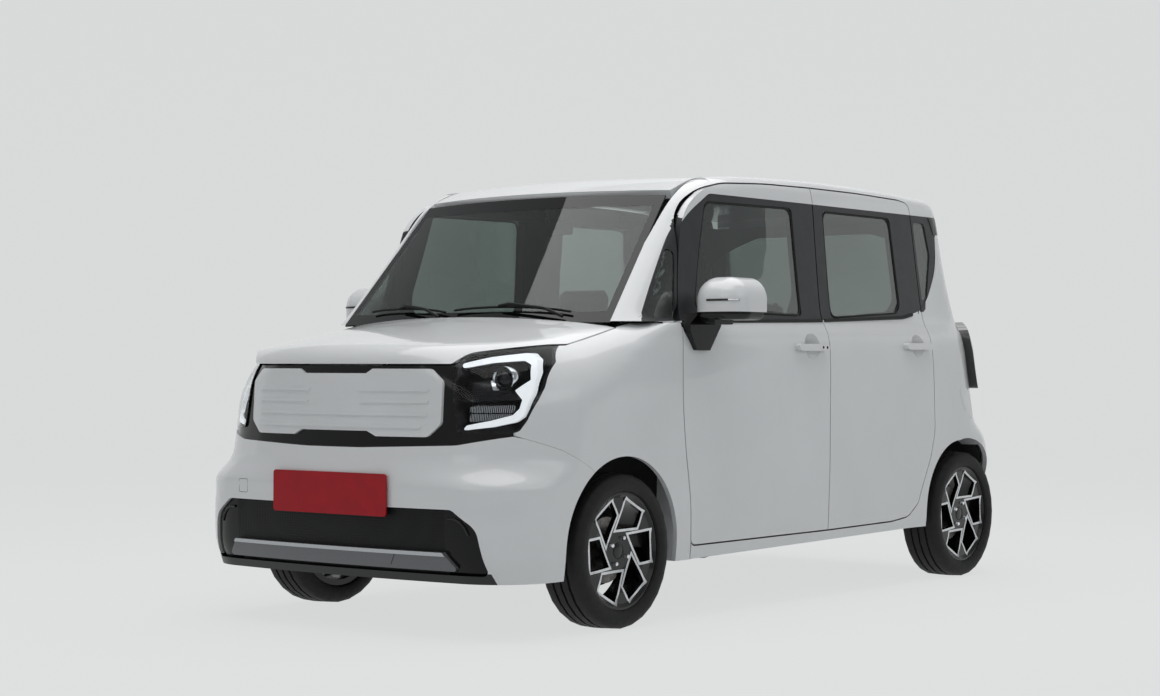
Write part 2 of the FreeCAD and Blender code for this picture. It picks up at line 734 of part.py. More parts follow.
# Nose: bumper, lamps, grille and wings share one skin, and the bonnet lies on top
noseWall = slab(noseField, wholeNoseRows, 0, size("skinThickness"))
noseSide = slab(noseField, noseRows, 0, size("skinThickness"))


def bonnetRow(y):
    front = reach(noseField, Vector(800, y, 880), forward).x - 130
    line = [reach(noseField, Vector(x, y, 700), up, far=700) for x in evenly(985, front, 15)]
    hinge = line[-1] - up * 120
    for lift in evenly(80, -12, 10):
        line.append(reach(noseField, hinge, heading(0, lift), far=500))
    return line


bonnetRows = [bonnetRow(y) for y in evenly(-712, 712, 31)]
frontHigh = frontEnd + 50
bonnetFront = [(-706, 1300), (-706, 1010), (-650, 1007, 40), (-503, 977, 40), (-468, 938, 16), (468, 938, 16),
               (503, 977, 40), (650, 1007, 40), (706, 1010), (706, 1300)]
bonnetTop = [(1142, 0, 2000), (1119, 330, 2000), (1044, 660, 60), (1040, 693), (1101, 690, 900),
             (1440, 668), (1900, 668), (1900, -668), (1440, -668), (1101, -690, 900), (1040, -693),
             (1044, -660, 60), (1119, -330, 2000)]
bonnetSlab = slab(noseField, bonnetRows, 0, size("bonnetThickness"))
bonnet = bonnetSlab.common(prism("front", bonnetFront, 0, frontHigh, -gap / 2))
bonnet = bonnet.common(prism("top", bonnetTop, 500, topHigh, -gap / 2))
bonnetLeaves = []
for side in (1, -1):
    bonnetLeaves += slab(noseField, bonnetRows, 19, 31).common(
        prism("top", [(1020, side * 600 - 25), (1090, side * 600 - 25), (1090, side * 600 + 25),
                      (1020, side * 600 + 25)], 500, topHigh)).Solids

bonnetSpace = prism("front", bonnetFront, 0, frontHigh, gap / 2).common(
    prism("top", bonnetTop, 500, topHigh, gap / 2))
cowlTop = [(1130, 0, 2000), (1107, 330, 2000), (1032, 660, 60), (1032, 690), (988, 690), (1040, 330, 2000),
           (1060, 0, 2000), (1040, -330, 2000), (988, -690), (1032, -690), (1032, -660, 60),
           (1107, -330, 2000)]
cowl = slab(noseField, bonnetRows, 16, 34).common(prism("top", cowlTop, 500, topHigh))
keep("cowl_panel", largest(cowl.cut(slabBetween(screenRows(2 - seat), screenRows(8 + seat)))))
bonnet = largest(bonnet).fuse(bonnetLeaves).cut(prism("top", cowlTop, 500, topHigh, seat))
keep("hood", largest(bonnet))

seamLine = [(1310, 583), (1444, 646), (1561, 685), (1650, 706), (1720, 722)]
fenderOutline = [(700, 221), (705, 420, 600), (745, 626, 900), (765, 810, 900), (765, 1000, 900),
                 (748, 1094), (1010, 1094), (1060, 1300), (1590, 1300), (1590, 696)] + seamLine[2::-1] + [
                     (1200, 500), (1200, 221)]
lampFront = [(481, 936, 20), (518, 708, 20), (660, 702, 30), (690, 710, 16), (705, 747, 60), (721, 820, 100),
             (723, 862, 60), (707, 948, 20), (664, 1014, 10), (500, 984, 8)]
lampFrom = place(1250, 0, 0).x
lampHouse = prism("front", lampFront, lampFrom, frontHigh)
wing = noseSide.common(prism("side", fenderOutline, 0, deep))
wing = wing.cut(prism("side", frontDoor, 0, deep, gap / 2))
for hole in (bonnetSpace, lampHouse, frontArch,
             prism("top", [(600, 0), (600, 690), (1045, 690), (1045, 0)], 500, topHigh)):
    wing = wing.cut(hole)
keep("front_fenders", both(largest(wing)))

# Headlamps: a deep bowl with a clear cover, a projector, a reflector and the C-shaped light
def lampWallBetween(start, end):
    return slab(noseField, noseRows, start, end).cut(bonnetSpace).common(lampHouse)


headlamp = largest(lampWallBetween(0, 88))
cover = largest(lampWallBetween(0, 4))
bowl = lampWallBetween(4, 88)
lampInside = prism("front", lampFront, lampFrom, frontHigh, -9)
bowl = bowl.cut(slab(noseField, noseRows, 0, 76).common(lampInside))
lightOutline = [(494, 940, 8), (560, 964, 40), (634, 979, 20), (664, 955, 20), (688, 910, 60), (700, 840, 60),
                (692, 764, 20), (674, 742, 20), (620, 726, 60), (533, 714, 6), (546, 731, 6), (618, 748, 60),
                (668, 766, 10), (681, 788, 10), (683, 818, 6), (660, 850, 4), (683, 886, 6), (662, 938, 12),
                (640, 952, 12), (571, 944, 40), (505, 926, 6)]
lightGuide = largest(slab(noseField, noseRows, 7, 19).common(
    prism("front", lightOutline, lampFrom, frontHigh)))
lightSpace = slab(noseField, noseRows, 5, 19 + seat).common(
    prism("front", lightOutline, lampFrom, frontHigh, seat))
shelf = slab(noseField, noseRows, 34, 80).common(
    prism("front", [(497, 808), (700, 820), (700, 827), (497, 815)], lampFrom, frontHigh))
reflector = slab(noseField, noseRows, 44, 81).common(
    prism("front", [(528, 742, 8), (640, 752, 8), (650, 800, 8), (528, 794, 8)], lampFrom, frontHigh))
lightBack = slab(noseField, noseRows, 19, 82).common(
    prism("front", lightOutline, lampFrom, frontHigh, -2))
lensSpot = place(1545, 592, 887)
projector = Part.makeCylinder(44, 75, lensSpot - Vector(75, 0, 0), forward)
projector = projector.cut(Part.makeCylinder(37, 14, lensSpot - Vector(14, 0, 0), forward))
projector = projector.fuse(Part.makeSphere(34, lensSpot - Vector(14, 0, 0)))
bowl = largest(bowl.fuse([shelf, reflector, lightBack, projector]).cut(lightSpace))
keep("headlamps", both(bowl))
keep("headlamp_lights", both(lightGuide))
keep("headlamp_covers", both(cover))

panelRight = [(150, 908, 8), (178, 924, 8), (410, 924, 26), (460, 880, 26), (460, 736, 26), (410, 690, 26),
              (200, 690, 8), (160, 708, 8)]
panelFront = [(-y, z, r) for y, z, r in reversed(panelRight)] + panelRight
panelPrism = prism("front", panelFront, 0, frontHigh)
panel = slab(noseField, wholeNoseRows, -5, 18).common(panelPrism)
ribRows = [(852, 118, 414), (812, 126, 410), (768, -408, 408), (725, -386, 386)]
ribHeight = 12
ribWall = slab(noseField, wholeNoseRows, -8.5, 0)
for z, start, end in ribRows:
    low, high = z - ribHeight / 2, z + ribHeight / 2
    rib = ribWall.common(prism("front", [(start, low, 5.5), (end, low, 5.5), (end, high, 5.5),
                                         (start, high, 5.5)], 0, frontHigh))
    panel = panel.fuse(rib)
    if start > 0:
        panel = panel.fuse(mirrored(rib))
keep("grille_panel", largest(panel))
bandEdge = [(699, 698), (520, 663, 200), (130, 650, 900)]
bandEdgeRight = [(-y, z, *rest) for y, z, *rest in reversed(bandEdge)]
surroundFront = ([(481, 936), (518, 708), (660, 702), (693, 712)] + bandEdge + bandEdgeRight
                 + [(-693, 712), (-660, 702), (-518, 708), (-481, 936)])
surround = slab(noseField, wholeNoseRows, 6, 24).common(prism("front", surroundFront, lampFrom, frontHigh))
fenderPrism = prism("side", fenderOutline, -deep, deep, 1)
surround = surround.cut(panelPrism).cut(bonnetSpace).cut(fenderPrism)
for lamp in (headlamp, mirrored(headlamp)):
    surround = surround.cut(lamp)
surround = largest(surround)

insertFront = [(-540, 448, 40), (-632, 385, 70), (-660, 224, 20), (660, 224, 20), (632, 385, 70),
               (540, 448, 40)]
insertPrism = prism("front", insertFront, place(1400, 0, 0).x, frontHigh)
bumperFront = ([(900, 760)] + bandEdge + bandEdgeRight + [(-900, 760), (-900, 196), (900, 196)])
bumperEdge = [(1150, 190), (1150, 500)] + seamLine + [(1900, 760), (1900, 190)]
bumper = noseWall.common(prism("front", bumperFront, 0, frontHigh))
bumper = bumper.common(prism("side", bumperEdge, -deep, deep))
for hole in (frontArch, mirrored(frontArch), insertPrism, fenderPrism):
    bumper = bumper.cut(hole)
keep("front_bumper", largest(bumper))
insert = largest(slab(noseField, wholeNoseRows, 12, 30).common(insertPrism))
skidFront = [(-505, 302, 8), (505, 302, 8), (552, 246, 12), (540, 238), (-540, 238), (-552, 246, 12)]
skidFrom = place(1400, 0, 0).x
skidPrism = prism("front", skidFront, skidFrom, frontHigh)
insert = largest(insert.cut(skidPrism))
keep("front_grilles", Part.makeCompound([surround, insert]))
skidEdge = [(-508, 303, 4), (508, 303, 4), (520, 289, 4), (-520, 289, 4)]
skidMiddle = [(-300, 292, 6), (300, 292, 6), (272, 250, 6), (-272, 250, 6)]
skid = slab(noseField, wholeNoseRows, -3, 20).common(skidPrism)
for proud, outline in ((-9, skidEdge), (-6, skidMiddle)):
    raised = slab(noseField, wholeNoseRows, proud, 10).common(skidPrism)
    skid = skid.fuse(raised.common(prism("front", outline, skidFrom, frontHigh)))
keep("front_skid_plate", largest(skid.cut(noseWall.cut(insertPrism))))


# Running gear and cabin: primitives and bodies whose sizes are bound to the sheet
def primitive(kind, name, rules):
    thing = doc.addObject(kind, name)
    for field, rule in rules.items():
        thing.setExpression(field, rule)
    return thing


def at(x, y, z):
    return {"Placement.Base.x": x, "Placement.Base.y": y, "Placement.Base.z": z}


def box(name, lengths, corner):
    rules = dict(zip(("Length", "Width", "Height"), lengths))
    rules.update(at(*corner))
    return primitive("Part::Box", name, rules)


def tube(name, radius, length, centre, axis):
    thing = primitive("Part::Cylinder", name, {"Radius": radius, "Height": length})
    thing.Placement = Placement(Vector(0, 0, 0), Rotation(Vector(0, 0, 1), axis))
    for field, rule in at(*centre).items():
        thing.setExpression(field, rule)
    return thing


def fuse(name, things):
    joined = doc.addObject("Part::MultiFuse", name)
    joined.Shapes = things
    joined.Refine = True
    return joined


def cut(name, base, tool):
    less = doc.addObject("Part::Cut", name)
    less.Base, less.Tool = base, tool
    return less


def keepObject(thing, label):
    thing.Label = label
    parts.append(thing)
    return thing


for alias, number in (("frontAxleX", frontAxle), ("rearAxleX", rearAxle), ("wheelCentreY", wheelY)):
    row += 1
    sheet.set("A%d" % row, alias)
    sheet.setAlias("B%d" % row, alias)
sheet.set("B%d" % (row - 2), "=(frontOverhang + wheelbase + rearOverhang) / 2 - frontOverhang")
sheet.set("B%d" % (row - 1), "=frontAxleX - wheelbase")
sheet.set("B%d" % row, "=trackWidth / 2")
doc.recompute()


def planeOf(body, role):
    return [feature for feature in body.Origin.OriginFeatures if feature.Role == role][0]


def polygonSketch(body, name, role, corners):
    """A closed outline whose every corner is bound to two expressions."""
    sketch = body.newObject("Sketcher::SketchObject", name)
    sketch.AttachmentSupport = (planeOf(body, role), [""])
    sketch.MapMode = "FlatFace"
    count = len(corners)
    first = [Vector(100 + 50 * math.cos(2 * math.pi * i / count), 50 * math.sin(2 * math.pi * i / count), 0)
             for i in range(count)]
    for i in range(count):
        sketch.addGeometry(Part.LineSegment(first[i], first[(i + 1) % count]), False)
    for i in range(count):
        sketch.addConstraint(Sketcher.Constraint("Coincident", i, 2, (i + 1) % count, 1))
    for i, corner in enumerate(corners):
        for kind, rule in zip(("DistanceX", "DistanceY"), corner):
            index = sketch.addConstraint(Sketcher.Constraint(kind, -1, 1, i, 1, 10.0))
            sketch.setExpression("Constraints[%d]" % index, rule)
    return sketch


def revolved(body, name, corners):
    sketch = polygonSketch(body, name + "Sketch", "XZ_Plane", corners)
    turn = body.newObject("PartDesign::Revolution", name)
    turn.Profile = sketch
    turn.ReferenceAxis = (sketch, ["V_Axis"])
    turn.Angle = 360
    sketch.Visibility = False
    return turn


def wheelPlace(thing, axle, side):
    turn = Rotation(Vector(1, 0, 0), -90 * side)
    thing.Placement = Placement(Vector(0, 0, 0), turn)
    for field, rule in at("Sizes.%sAxleX" % axle, "%d * Sizes.wheelCentreY" % side,
                          "Sizes.tyreRadius").items():
        thing.setExpression(field, rule)


def tyreBody(label):
    body = doc.addObject("PartDesign::Body", label)
    wide = "Sizes.tyreWidth / 2"
    corners = [("Sizes.rimRadius", "-%s + 14" % wide), ("Sizes.tyreRadius - 34", "-%s" % wide),
               ("Sizes.tyreRadius", "-%s + 24" % wide), ("Sizes.tyreRadius", "%s - 24" % wide),
               ("Sizes.tyreRadius - 34", wide), ("Sizes.rimRadius", "%s - 14" % wide)]
    revolved(body, label + "Ring", corners)
    return body


boltAngle = "63.9 deg"


def rimBody(label):
    body = doc.addObject("PartDesign::Body", label)
    rim = "Sizes.rimRadius"
    edge = "Sizes.tyreWidth / 2 - 14"
    corners = [("Sizes.hubBoreRadius", "-20"), ("Sizes.discRadius", "-20"),
               ("Sizes.discRadius", "-20 + Sizes.discThickness"), ("66", "-20 + Sizes.discThickness"),
               ("66", "34"), ("150", "46"), (rim + " - 22", "50"), (rim + " - 22", "-(%s)" % edge),
               (rim, "-(%s)" % edge), (rim, "-(%s) + 10" % edge), (rim + " - 10", "-(%s) + 20" % edge),
               (rim + " - 10", "%s - 20" % edge), (rim, "%s - 10" % edge), (rim, edge),
               (rim + " - 8", edge), (rim + " - 20", "64"), ("150", "64"), ("66", "56"),
               ("Sizes.hubBoreRadius", "56")]
    revolved(body, label + "Wheel", corners)
    doc.recompute()
    sketch = body.newObject("Sketcher::SketchObject", label + "WindowSketch")
    sketch.AttachmentSupport = (planeOf(body, "XY_Plane"), [""])
    sketch.MapMode = "FlatFace"
    centre = 183
    window = [(size("rimRadius") - 24, centre - 17), (size("rimRadius") - 24, centre + 17),
              (78, centre + 41), (128, centre - 25.5)]
    ring = [Vector(r * math.cos(math.radians(a)), r * math.sin(math.radians(a)), 0) for r, a in window]
    for i in range(4):
        sketch.addGeometry(Part.LineSegment(ring[i], ring[(i + 1) % 4]), False)
    for i in range(4):
        sketch.addConstraint(Sketcher.Constraint("Coincident", i, 2, (i + 1) % 4, 1))
    opening = body.newObject("PartDesign::Pocket", label + "Window")
    opening.Profile = sketch
    opening.Type = 0
    opening.Length = 200
    opening.Reversed = True
    sketch.Visibility = False
    doc.recompute()
    ringOf = body.newObject("PartDesign::PolarPattern", label + "Windows")
    ringOf.Originals = [opening]
    ringOf.Axis = (planeOf(body, "Z_Axis"), [""])
    ringOf.Angle = 360
    ringOf.Occurrences = 6
    body.Tip = ringOf
    doc.recompute()
    bolts = body.newObject("Sketcher::SketchObject", label + "BoltSketch")
    bolts.AttachmentSupport = (planeOf(body, "XY_Plane"), [""])
    bolts.MapMode = "FlatFace"
    bolts.addGeometry(Part.Circle(Vector(22, 45, 0), Vector(0, 0, 1), 6), False)
    for field, rule in (("DistanceX", "Sizes.boltCircle / 2 * cos(%s)" % boltAngle),
                        ("DistanceY", "Sizes.boltCircle / 2 * sin(%s)" % boltAngle)):
        index = bolts.addConstraint(Sketcher.Constraint(field, -1, 1, 0, 3, 10.0))
        bolts.setExpression("Constraints[%d]" % index, rule)
    index = bolts.addConstraint(Sketcher.Constraint("Radius", 0, 6.0))
    bolts.setExpression("Constraints[%d]" % index, "Sizes.boltHoleRadius")
    hole = body.newObject("PartDesign::Pocket", label + "BoltHole")
    hole.Profile = bolts
    hole.Type = 1
    hole.Midplane = True
    bolts.Visibility = False
    doc.recompute()
    holes = body.newObject("PartDesign::PolarPattern", label + "BoltHoles")
    holes.Originals = [hole]
    holes.Axis = (planeOf(body, "Z_Axis"), [""])
    holes.Angle = 360
    holes.Occurrences = 4
    body.Tip = holes
    doc.recompute()
    return body


for corner, axle, side in (("front_left", "front", 1), ("front_right", "front", -1),
                           ("rear_left", "rear", 1), ("rear_right", "rear", -1)):
    for make, word in ((tyreBody, "tyre_"), (rimBody, "rim_")):
        made = make(word + corner)
        wheelPlace(made, axle, side)
        keepObject(made, word + corner)

# Hub, upright and strut that carry each front wheel
for side, word in ((1, "left"), (-1, "right")):
    sign = Vector(0, side, 0)
    hub = tube("hub_" + word, "Sizes.hubBoreRadius - 0.3", "90",
               ("Sizes.frontAxleX", "%d * (Sizes.wheelCentreY - 40)" % side, "Sizes.tyreRadius"), sign)
    upright = box("upright_" + word, ("70", "26", "190"),
                  ("Sizes.frontAxleX - 35", "%d * (Sizes.wheelCentreY - 53) - 13" % side,
                   "Sizes.tyreRadius - 98 + Sizes.seatGap"))
    arm = box("strut_clamp_" + word, ("46", "90", "60"),
              ("Sizes.frontAxleX - 23", "%d * (Sizes.wheelCentreY - 107) - 45" % side,
               "Sizes.tyreRadius + 40"))
    strut = tube("strut_" + word, "24", "Sizes.tyreRadius + 2",
                 ("Sizes.frontAxleX", "%d * (Sizes.wheelCentreY - 131)" % side, "Sizes.tyreRadius + 20"),
                 Vector(0, 0, 1))
    head = box("strut_head_" + word, ("44", "120", "22"),
               ("Sizes.frontAxleX - 22", "%d * (Sizes.wheelCentreY - 93.5) - 60" % side,
                "2 * Sizes.tyreRadius + 10"))
    pin = tube("top_pin_" + word, "16", "Sizes.archClearance + 36",
               ("Sizes.frontAxleX", "%d * (Sizes.wheelCentreY - Sizes.kingpinSetback)" % side,
                "2 * Sizes.tyreRadius + 10"), Vector(0, 0, 1))
    lever = box("steering_lever_" + word, ("120", "24", "26"),
                ("Sizes.frontAxleX - 140", "%d * (Sizes.wheelCentreY - 62) - 12" % side,
                 "Sizes.tyreRadius - 40"))
    keepObject(fuse("knuckle_" + word, [hub, upright, arm, strut, head, pin, lever]), "knuckle_" + word)

# Front subframe: rails, cross members, lower arms and steering rack
rails = []
for side in (1, -1):
    rails.append(box("rail_%d" % (side + 1), ("620 + Sizes.frontOverhang - 345", "60", "100"),
                     ("Sizes.frontAxleX - 350 + 0.3", "%d * 370 - 30" % side, "330")))
    rails.append(box("lower_arm_%d" % (side + 1), ("70", "Sizes.wheelCentreY - 46 - 300", "24"),
                     ("Sizes.frontAxleX - 35", "%d * (Sizes.wheelCentreY - 46 + 300) / 2 "
                      "- (Sizes.wheelCentreY - 46 - 300) / 2" % side, "Sizes.tyreRadius - 122")))
    rails.append(box("arm_post_%d" % (side + 1), ("80", "60", "200"),
                     ("Sizes.frontAxleX - 40", "%d * 330 - 30" % side, "Sizes.tyreRadius - 122")))
rails.append(box("cross_member", ("80", "700", "60"), ("Sizes.frontAxleX - 260", "-350", "300")))
rails.append(box("engine_cradle", ("80", "700", "30"),
                 ("Sizes.frontAxleX + 160", "-350", "410 - Sizes.seatGap")))
for side in (1, -1):
    rails.append(box("horn_%d" % (side + 1), ("40", "60", "210"),
                     ("Sizes.frontAxleX + Sizes.frontOverhang - 115", "%d * 370 - 30" % side, "330")))
railsWhole = fuse("rails_whole", rails)
doc.recompute()
beamFront = [(-600, 455), (600, 455), (600, 540), (-600, 540)]
crashBeam = slab(noseField, wholeNoseRows, size("skinThickness") + seat, 75)
crashBeam = crashBeam.common(prism("front", beamFront, place(1400, 0, 0).x, frontHigh))
keep("front_subframe", largest(railsWhole.Shape.fuse(largest(crashBeam))))

# Rear axle: torsion beam, trailing arms and stub axles
beam = [tube("beam", "34", "2 * Sizes.wheelCentreY - 260",
             ("Sizes.rearAxleX + 120", "-(Sizes.wheelCentreY - 130)", "Sizes.tyreRadius"), Vector(0, 1, 0))]
for side in (1, -1):
    beam.append(box("trailing_arm_%d" % (side + 1), ("480 - Sizes.seatGap", "50", "56"),
                    ("Sizes.rearAxleX - 60", "%d * (Sizes.wheelCentreY - 140) - 25" % side,
                     "Sizes.tyreRadius - 28")))
    beam.append(tube("stub_%d" % (side + 1), "Sizes.hubBoreRadius - 0.3", "190",
                     ("Sizes.rearAxleX", "%d * (Sizes.wheelCentreY - 140)" % side, "Sizes.tyreRadius"),
                     Vector(0, side, 0)))
keepObject(fuse("rear_axle", beam), "rear_axle")

keepObject(box("engine_block", ("Sizes.engineLength", "Sizes.engineWidth", "Sizes.engineHeight"),
               ("Sizes.frontAxleX + 40", "-Sizes.engineWidth / 2", "440")), "engine_block")

# Floor with its firewall, boot floor and wheelhouses, and the tank and exhaust below it
floorWide = "Sizes.bodyWidth - 150"
panels = [box("floor_plate", ("Sizes.wheelbase - 740", floorWide, "Sizes.floorThickness"),
              ("Sizes.rearAxleX + 420", "-(%s) / 2" % floorWide, "Sizes.floorHeight")),
          box("firewall", ("30", floorWide, "Sizes.beltHeight - 300"),
              ("Sizes.frontAxleX - 380", "-(%s) / 2" % floorWide, "Sizes.floorHeight")),
          box("boot_floor", ("670", floorWide, "30"),
              ("Sizes.rearAxleX - 250", "-(%s) / 2" % floorWide, "480")),
          box("boot_riser", ("30", floorWide, "480 + 30 - Sizes.floorHeight"),
              ("Sizes.rearAxleX + 420", "-(%s) / 2" % floorWide, "Sizes.floorHeight"))]
floor = fuse("floor_whole", panels)
doc.recompute()
linerThickness = 16


def wheelhouse(axle, inside, outside, flare=0):
    """A liner over one wheel, closed towards the middle of the car."""
    low = inside - linerThickness
    centre = Vector(axle, low, size("tyreRadius") + 15)
    across = Vector(0, 1, 0)
    shell = Part.makeCylinder(archRadius + linerThickness, outside - low, centre, across)
    if flare:
        shell = shell.fuse(Part.makeCylinder(archRadius - 32 + linerThickness, outside - low,
                                             centre + Vector(flare, 0, 25), across))
    shell = shell.cut(archCut(axle, halfWidth - inside, flare))
    below = Part.makeBox(4 * archRadius, deep, 330, Vector(axle - 2 * archRadius, 0, 0))
    return largest(shell.cut(below))


tailEdge = [reach(cabinField, Vector(-1100, 0, 340), heading(a)) for a in evenly(100, 176, 12)]
tailEdge = [p - normalAt(cabinField, p) * (size("skinThickness") + 4) for p in tailEdge]
tailInside = [(-900, 770)] + [(p.x, p.y) for p in tailEdge] + [(tailEdge[-1].x, 0), (-900, 0)]
rearHouse = wheelhouse(rearAxle, wheelY - 120, halfWidth - 50, 62)
rearHouse = rearHouse.common(prism("top", tailInside, 0, topHigh))
frontHouse = wheelhouse(frontAxle + 7, 450, halfWidth - 12)
pinHole = Part.makeCylinder(16 + seat, 100, Vector(frontAxle, wheelY - size("kingpinSetback"),
                                                   2 * size("tyreRadius") + 30))
frontHouse = frontHouse.cut(pinHole)
rearWell = archCut(rearAxle, halfWidth - wheelY + 120, 62)
floorShape = floor.Shape.cut(rearWell).cut(mirrored(rearWell))
frontWell = archCut(frontAxle + 7, halfWidth - 450)
floorShape = floorShape.cut(frontWell).cut(mirrored(frontWell))
floorShape = floorShape.fuse([rearHouse, mirrored(rearHouse), frontHouse, mirrored(frontHouse)])
noseSkin = slab(noseField, noseRows, -5, size("skinThickness")).common(
    prism("side", [(786, 100), (786, 1200), (1900, 1200), (1900, 100)], 0, deep))
tailSkin = slab(cabinField, sideRows, -20, size("skinThickness")).common(
    prism("side", [(-1130, 100), (-1130, 1200), (-1900, 1200), (-1900, 100)], 0, deep))
for shape in (doorSpace, bodySide, noseSkin, tailSkin):
    floorShape = floorShape.cut(shape).cut(mirrored(shape))
padBehindAxle, padAheadOfAxle, padY = 552.5, 567.5, wheelY - 121
padLow = size("floorHeight") - size("jackPadHeight")
jackPads = [Part.makeCylinder(42, size("jackPadHeight"), Vector(x, y, padLow))
            for x in (frontAxle - padBehindAxle, rearAxle + padAheadOfAxle) for y in (padY, -padY)]
keep("floor_pan", largest(floorShape.fuse(jackPads)))
keepObject(box("fuel_tank", ("480", "620", "72"), ("Sizes.rearAxleX + 470", "-310",
                                                  "Sizes.floorHeight - 72")), "fuel_tank")
pipe = tube("pipe", "21", "Sizes.wheelbase - 100", ("Sizes.rearAxleX - 150", "-400", "Sizes.floorHeight - 21"),
            Vector(1, 0, 0))
muffler = box("muffler", ("180", "420", "110"), ("Sizes.rearAxleX - 300", "-440", "Sizes.floorHeight - 21"))
keepObject(fuse("exhaust", [pipe, muffler]), "exhaust")

# Dashboard, seats and steering wheel
dashProfile = [(745, 640), (540, 640, 40), (470, 880, 60), (500, 985, 40), (640, 1010, 60), (745, 1010)]
dashHalf = place(0, 640, 0).y
columnTop = Vector(place(400, 0, 0).x, 360, size("beltHeight") - 190)
columnAxis = Vector(-math.cos(math.radians(27)), 0, math.sin(math.radians(27)))
columnLength = 60
boss = Part.makeCylinder(34, 200, columnTop - columnAxis * columnLength, columnAxis * -1)
dash = prism("side", dashProfile, -dashHalf, dashHalf).fuse(boss)
keep("dashboard", largest(dash.cut(floorShape)))


floorTop = size("floorHeight") + size("floorThickness")


def seatShape(x, y, width, high):
    half = width / 2
    cushion = prism("side", [(x, 430, 30), (x + 500, 430, 30), (x + 500, 560, 50), (x, 540, 30)],
                    y - half, y + half)
    back = prism("side", [(x - 30, 470, 40), (x + 110, 470, 40), (x + 10, high, 50), (x - 110, high, 50)],
                 y - half, y + half)
    head = prism("side", [(x - 105, high - 20, 20), (x - 5, high - 20, 20), (x - 15, high + 190, 40),
                          (x - 105, high + 190, 40)], y - 125, y + 125)
    base = prism("side", [(x + 60, floorTop), (x + 440, floorTop), (x + 440, 450), (x + 60, 450)],
                 y - half + 60, y + half - 60)
    return largest(cushion.fuse([back, head, base]))


frontSeat = seatShape(-60, 360, size("seatWidth"), 1090)
keep("front_seats", Part.makeCompound([frontSeat, mirrored(frontSeat)]))
rearSeat = seatShape(-880, 0, 2 * place(0, 600, 0).y, 1050)
keep("rear_bench", rearSeat)

ringTurn = Rotation(Vector(0, 0, 1), columnAxis)
grip = Part.makeTorus(size("steeringWheelRadius"), 15)
hubShape = Part.makeCylinder(52, 50, Vector(0, 0, -40))
spokes = [Part.makeBox(size("steeringWheelRadius"), 34, 16, Vector(0, -17, -16)) for _ in range(3)]
for spoke, turn in zip(spokes, (0, 90, 180)):
    spoke.rotate(Vector(0, 0, 0), Vector(0, 0, 1), turn)
column = Part.makeCylinder(24, columnLength - seat, Vector(0, 0, seat - columnLength))
wheelShape = grip.fuse([hubShape, column] + spokes)
wheelShape.Placement = Placement(columnTop, ringTurn)
keep("steering_wheel", largest(wheelShape))

# Door mirrors and number plates
mirrorLow, mirrorSeam, mirrorHigh = [place(0, 0, z).z for z in (1104, 1133, 1262)]
mirrorBack = place(528, 0, 0).x
capFoot = Vector(mirrorBack - 90, halfWidth - 8, 2 * mirrorSeam - mirrorHigh)
cap = Part.makeBox(290, 214, 2 * (mirrorHigh - mirrorSeam), capFoot)
cap = cap.makeFillet(84, cap.Edges)
cap = cap.common(Part.makeBox(400, 400, 400, Vector(mirrorBack, halfWidth - 100, mirrorSeam)))
tray = prism("top", [(528, 800), (712, 800, 30), (692, 930, 60), (640, 992, 50), (528, 992, 8)],
             mirrorLow, mirrorSeam)
tray = tray.makeFillet(20, [edge for edge in tray.Edges if edge.BoundBox.ZMax < mirrorSeam - 1])
recess = prism("front", [(816, 1146, 12), (822, 1246, 50), (986, 1246, 60), (984, 1150, 30)],
               mirrorBack - 8, mirrorBack + 8)
leg = prism("side", [(745, 1090), (742, 1060, 20), (699, 992, 12), (617, 992, 12), (540, 1090, 20),
                     (560, 1130), (690, 1130)], halfWidth - 60, halfWidth + 14)
arm = prism("side", [(700, 1086, 10), (575, 1088, 10), (580, 1128), (690, 1128)],
            halfWidth - 40, halfWidth + 90)
mirror = largest(cap.fuse([tray, leg, arm]).cut(recess).cut(frontDoorShape)
                 .cut(prism("side", frontGlass, 0, halfWidth + 1)))
keep("door_mirror_left", mirror)
keep("door_mirror_right", mirrored(mirror))
wide, tall = size("plateWidth"), size("plateHeight")
plateFront, plateRear = 415, 825
noseFront = max(reach(noseField, Vector(800, 0, plateFront + tall * i / 6), forward).x for i in range(7))
plateBack = place(noseFront, 0, 0).x + 3 * seat
frontPlate = Part.makeBox(frontEnd - plateBack, wide, tall, Vector(plateBack, -wide / 2, plateFront))
tailFront = min(reach(cabinField, Vector(-1200, 0, plateRear + tall * i / 6), forward * -1).x for i in range(7))
rearPlate = Part.makeBox(8, wide, tall, Vector(place(tailFront, 0, 0).x - seat - 8, -wide / 2, plateRear))
plates = []
for plate in (frontPlate, rearPlate):
    plates.append(plate.makeFillet(12, [edge for edge in plate.Edges if edge.BoundBox.XLength > 1]))
keep("number_plates", Part.makeCompound(plates))

doc.recompute()
for part in parts:
    if "Invalid" in part.State or "Error" in part.State:
        raise ValueError(part.Label + " failed")
    if part.Shape.isNull() or not part.Shape.isValid():
        raise ValueError(part.Label + " is not a sound solid")
os.makedirs("parts", exist_ok=True)
for part in parts:
    part.Shape.exportStep(os.path.join("parts", part.Label + ".step"))
    print(part.Label, len(part.Shape.Solids), round(part.Shape.Volume / 1e6, 2), "litres")
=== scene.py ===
import bpy
import bmesh
import json
import math
from mathutils import Euler, Matrix, Vector


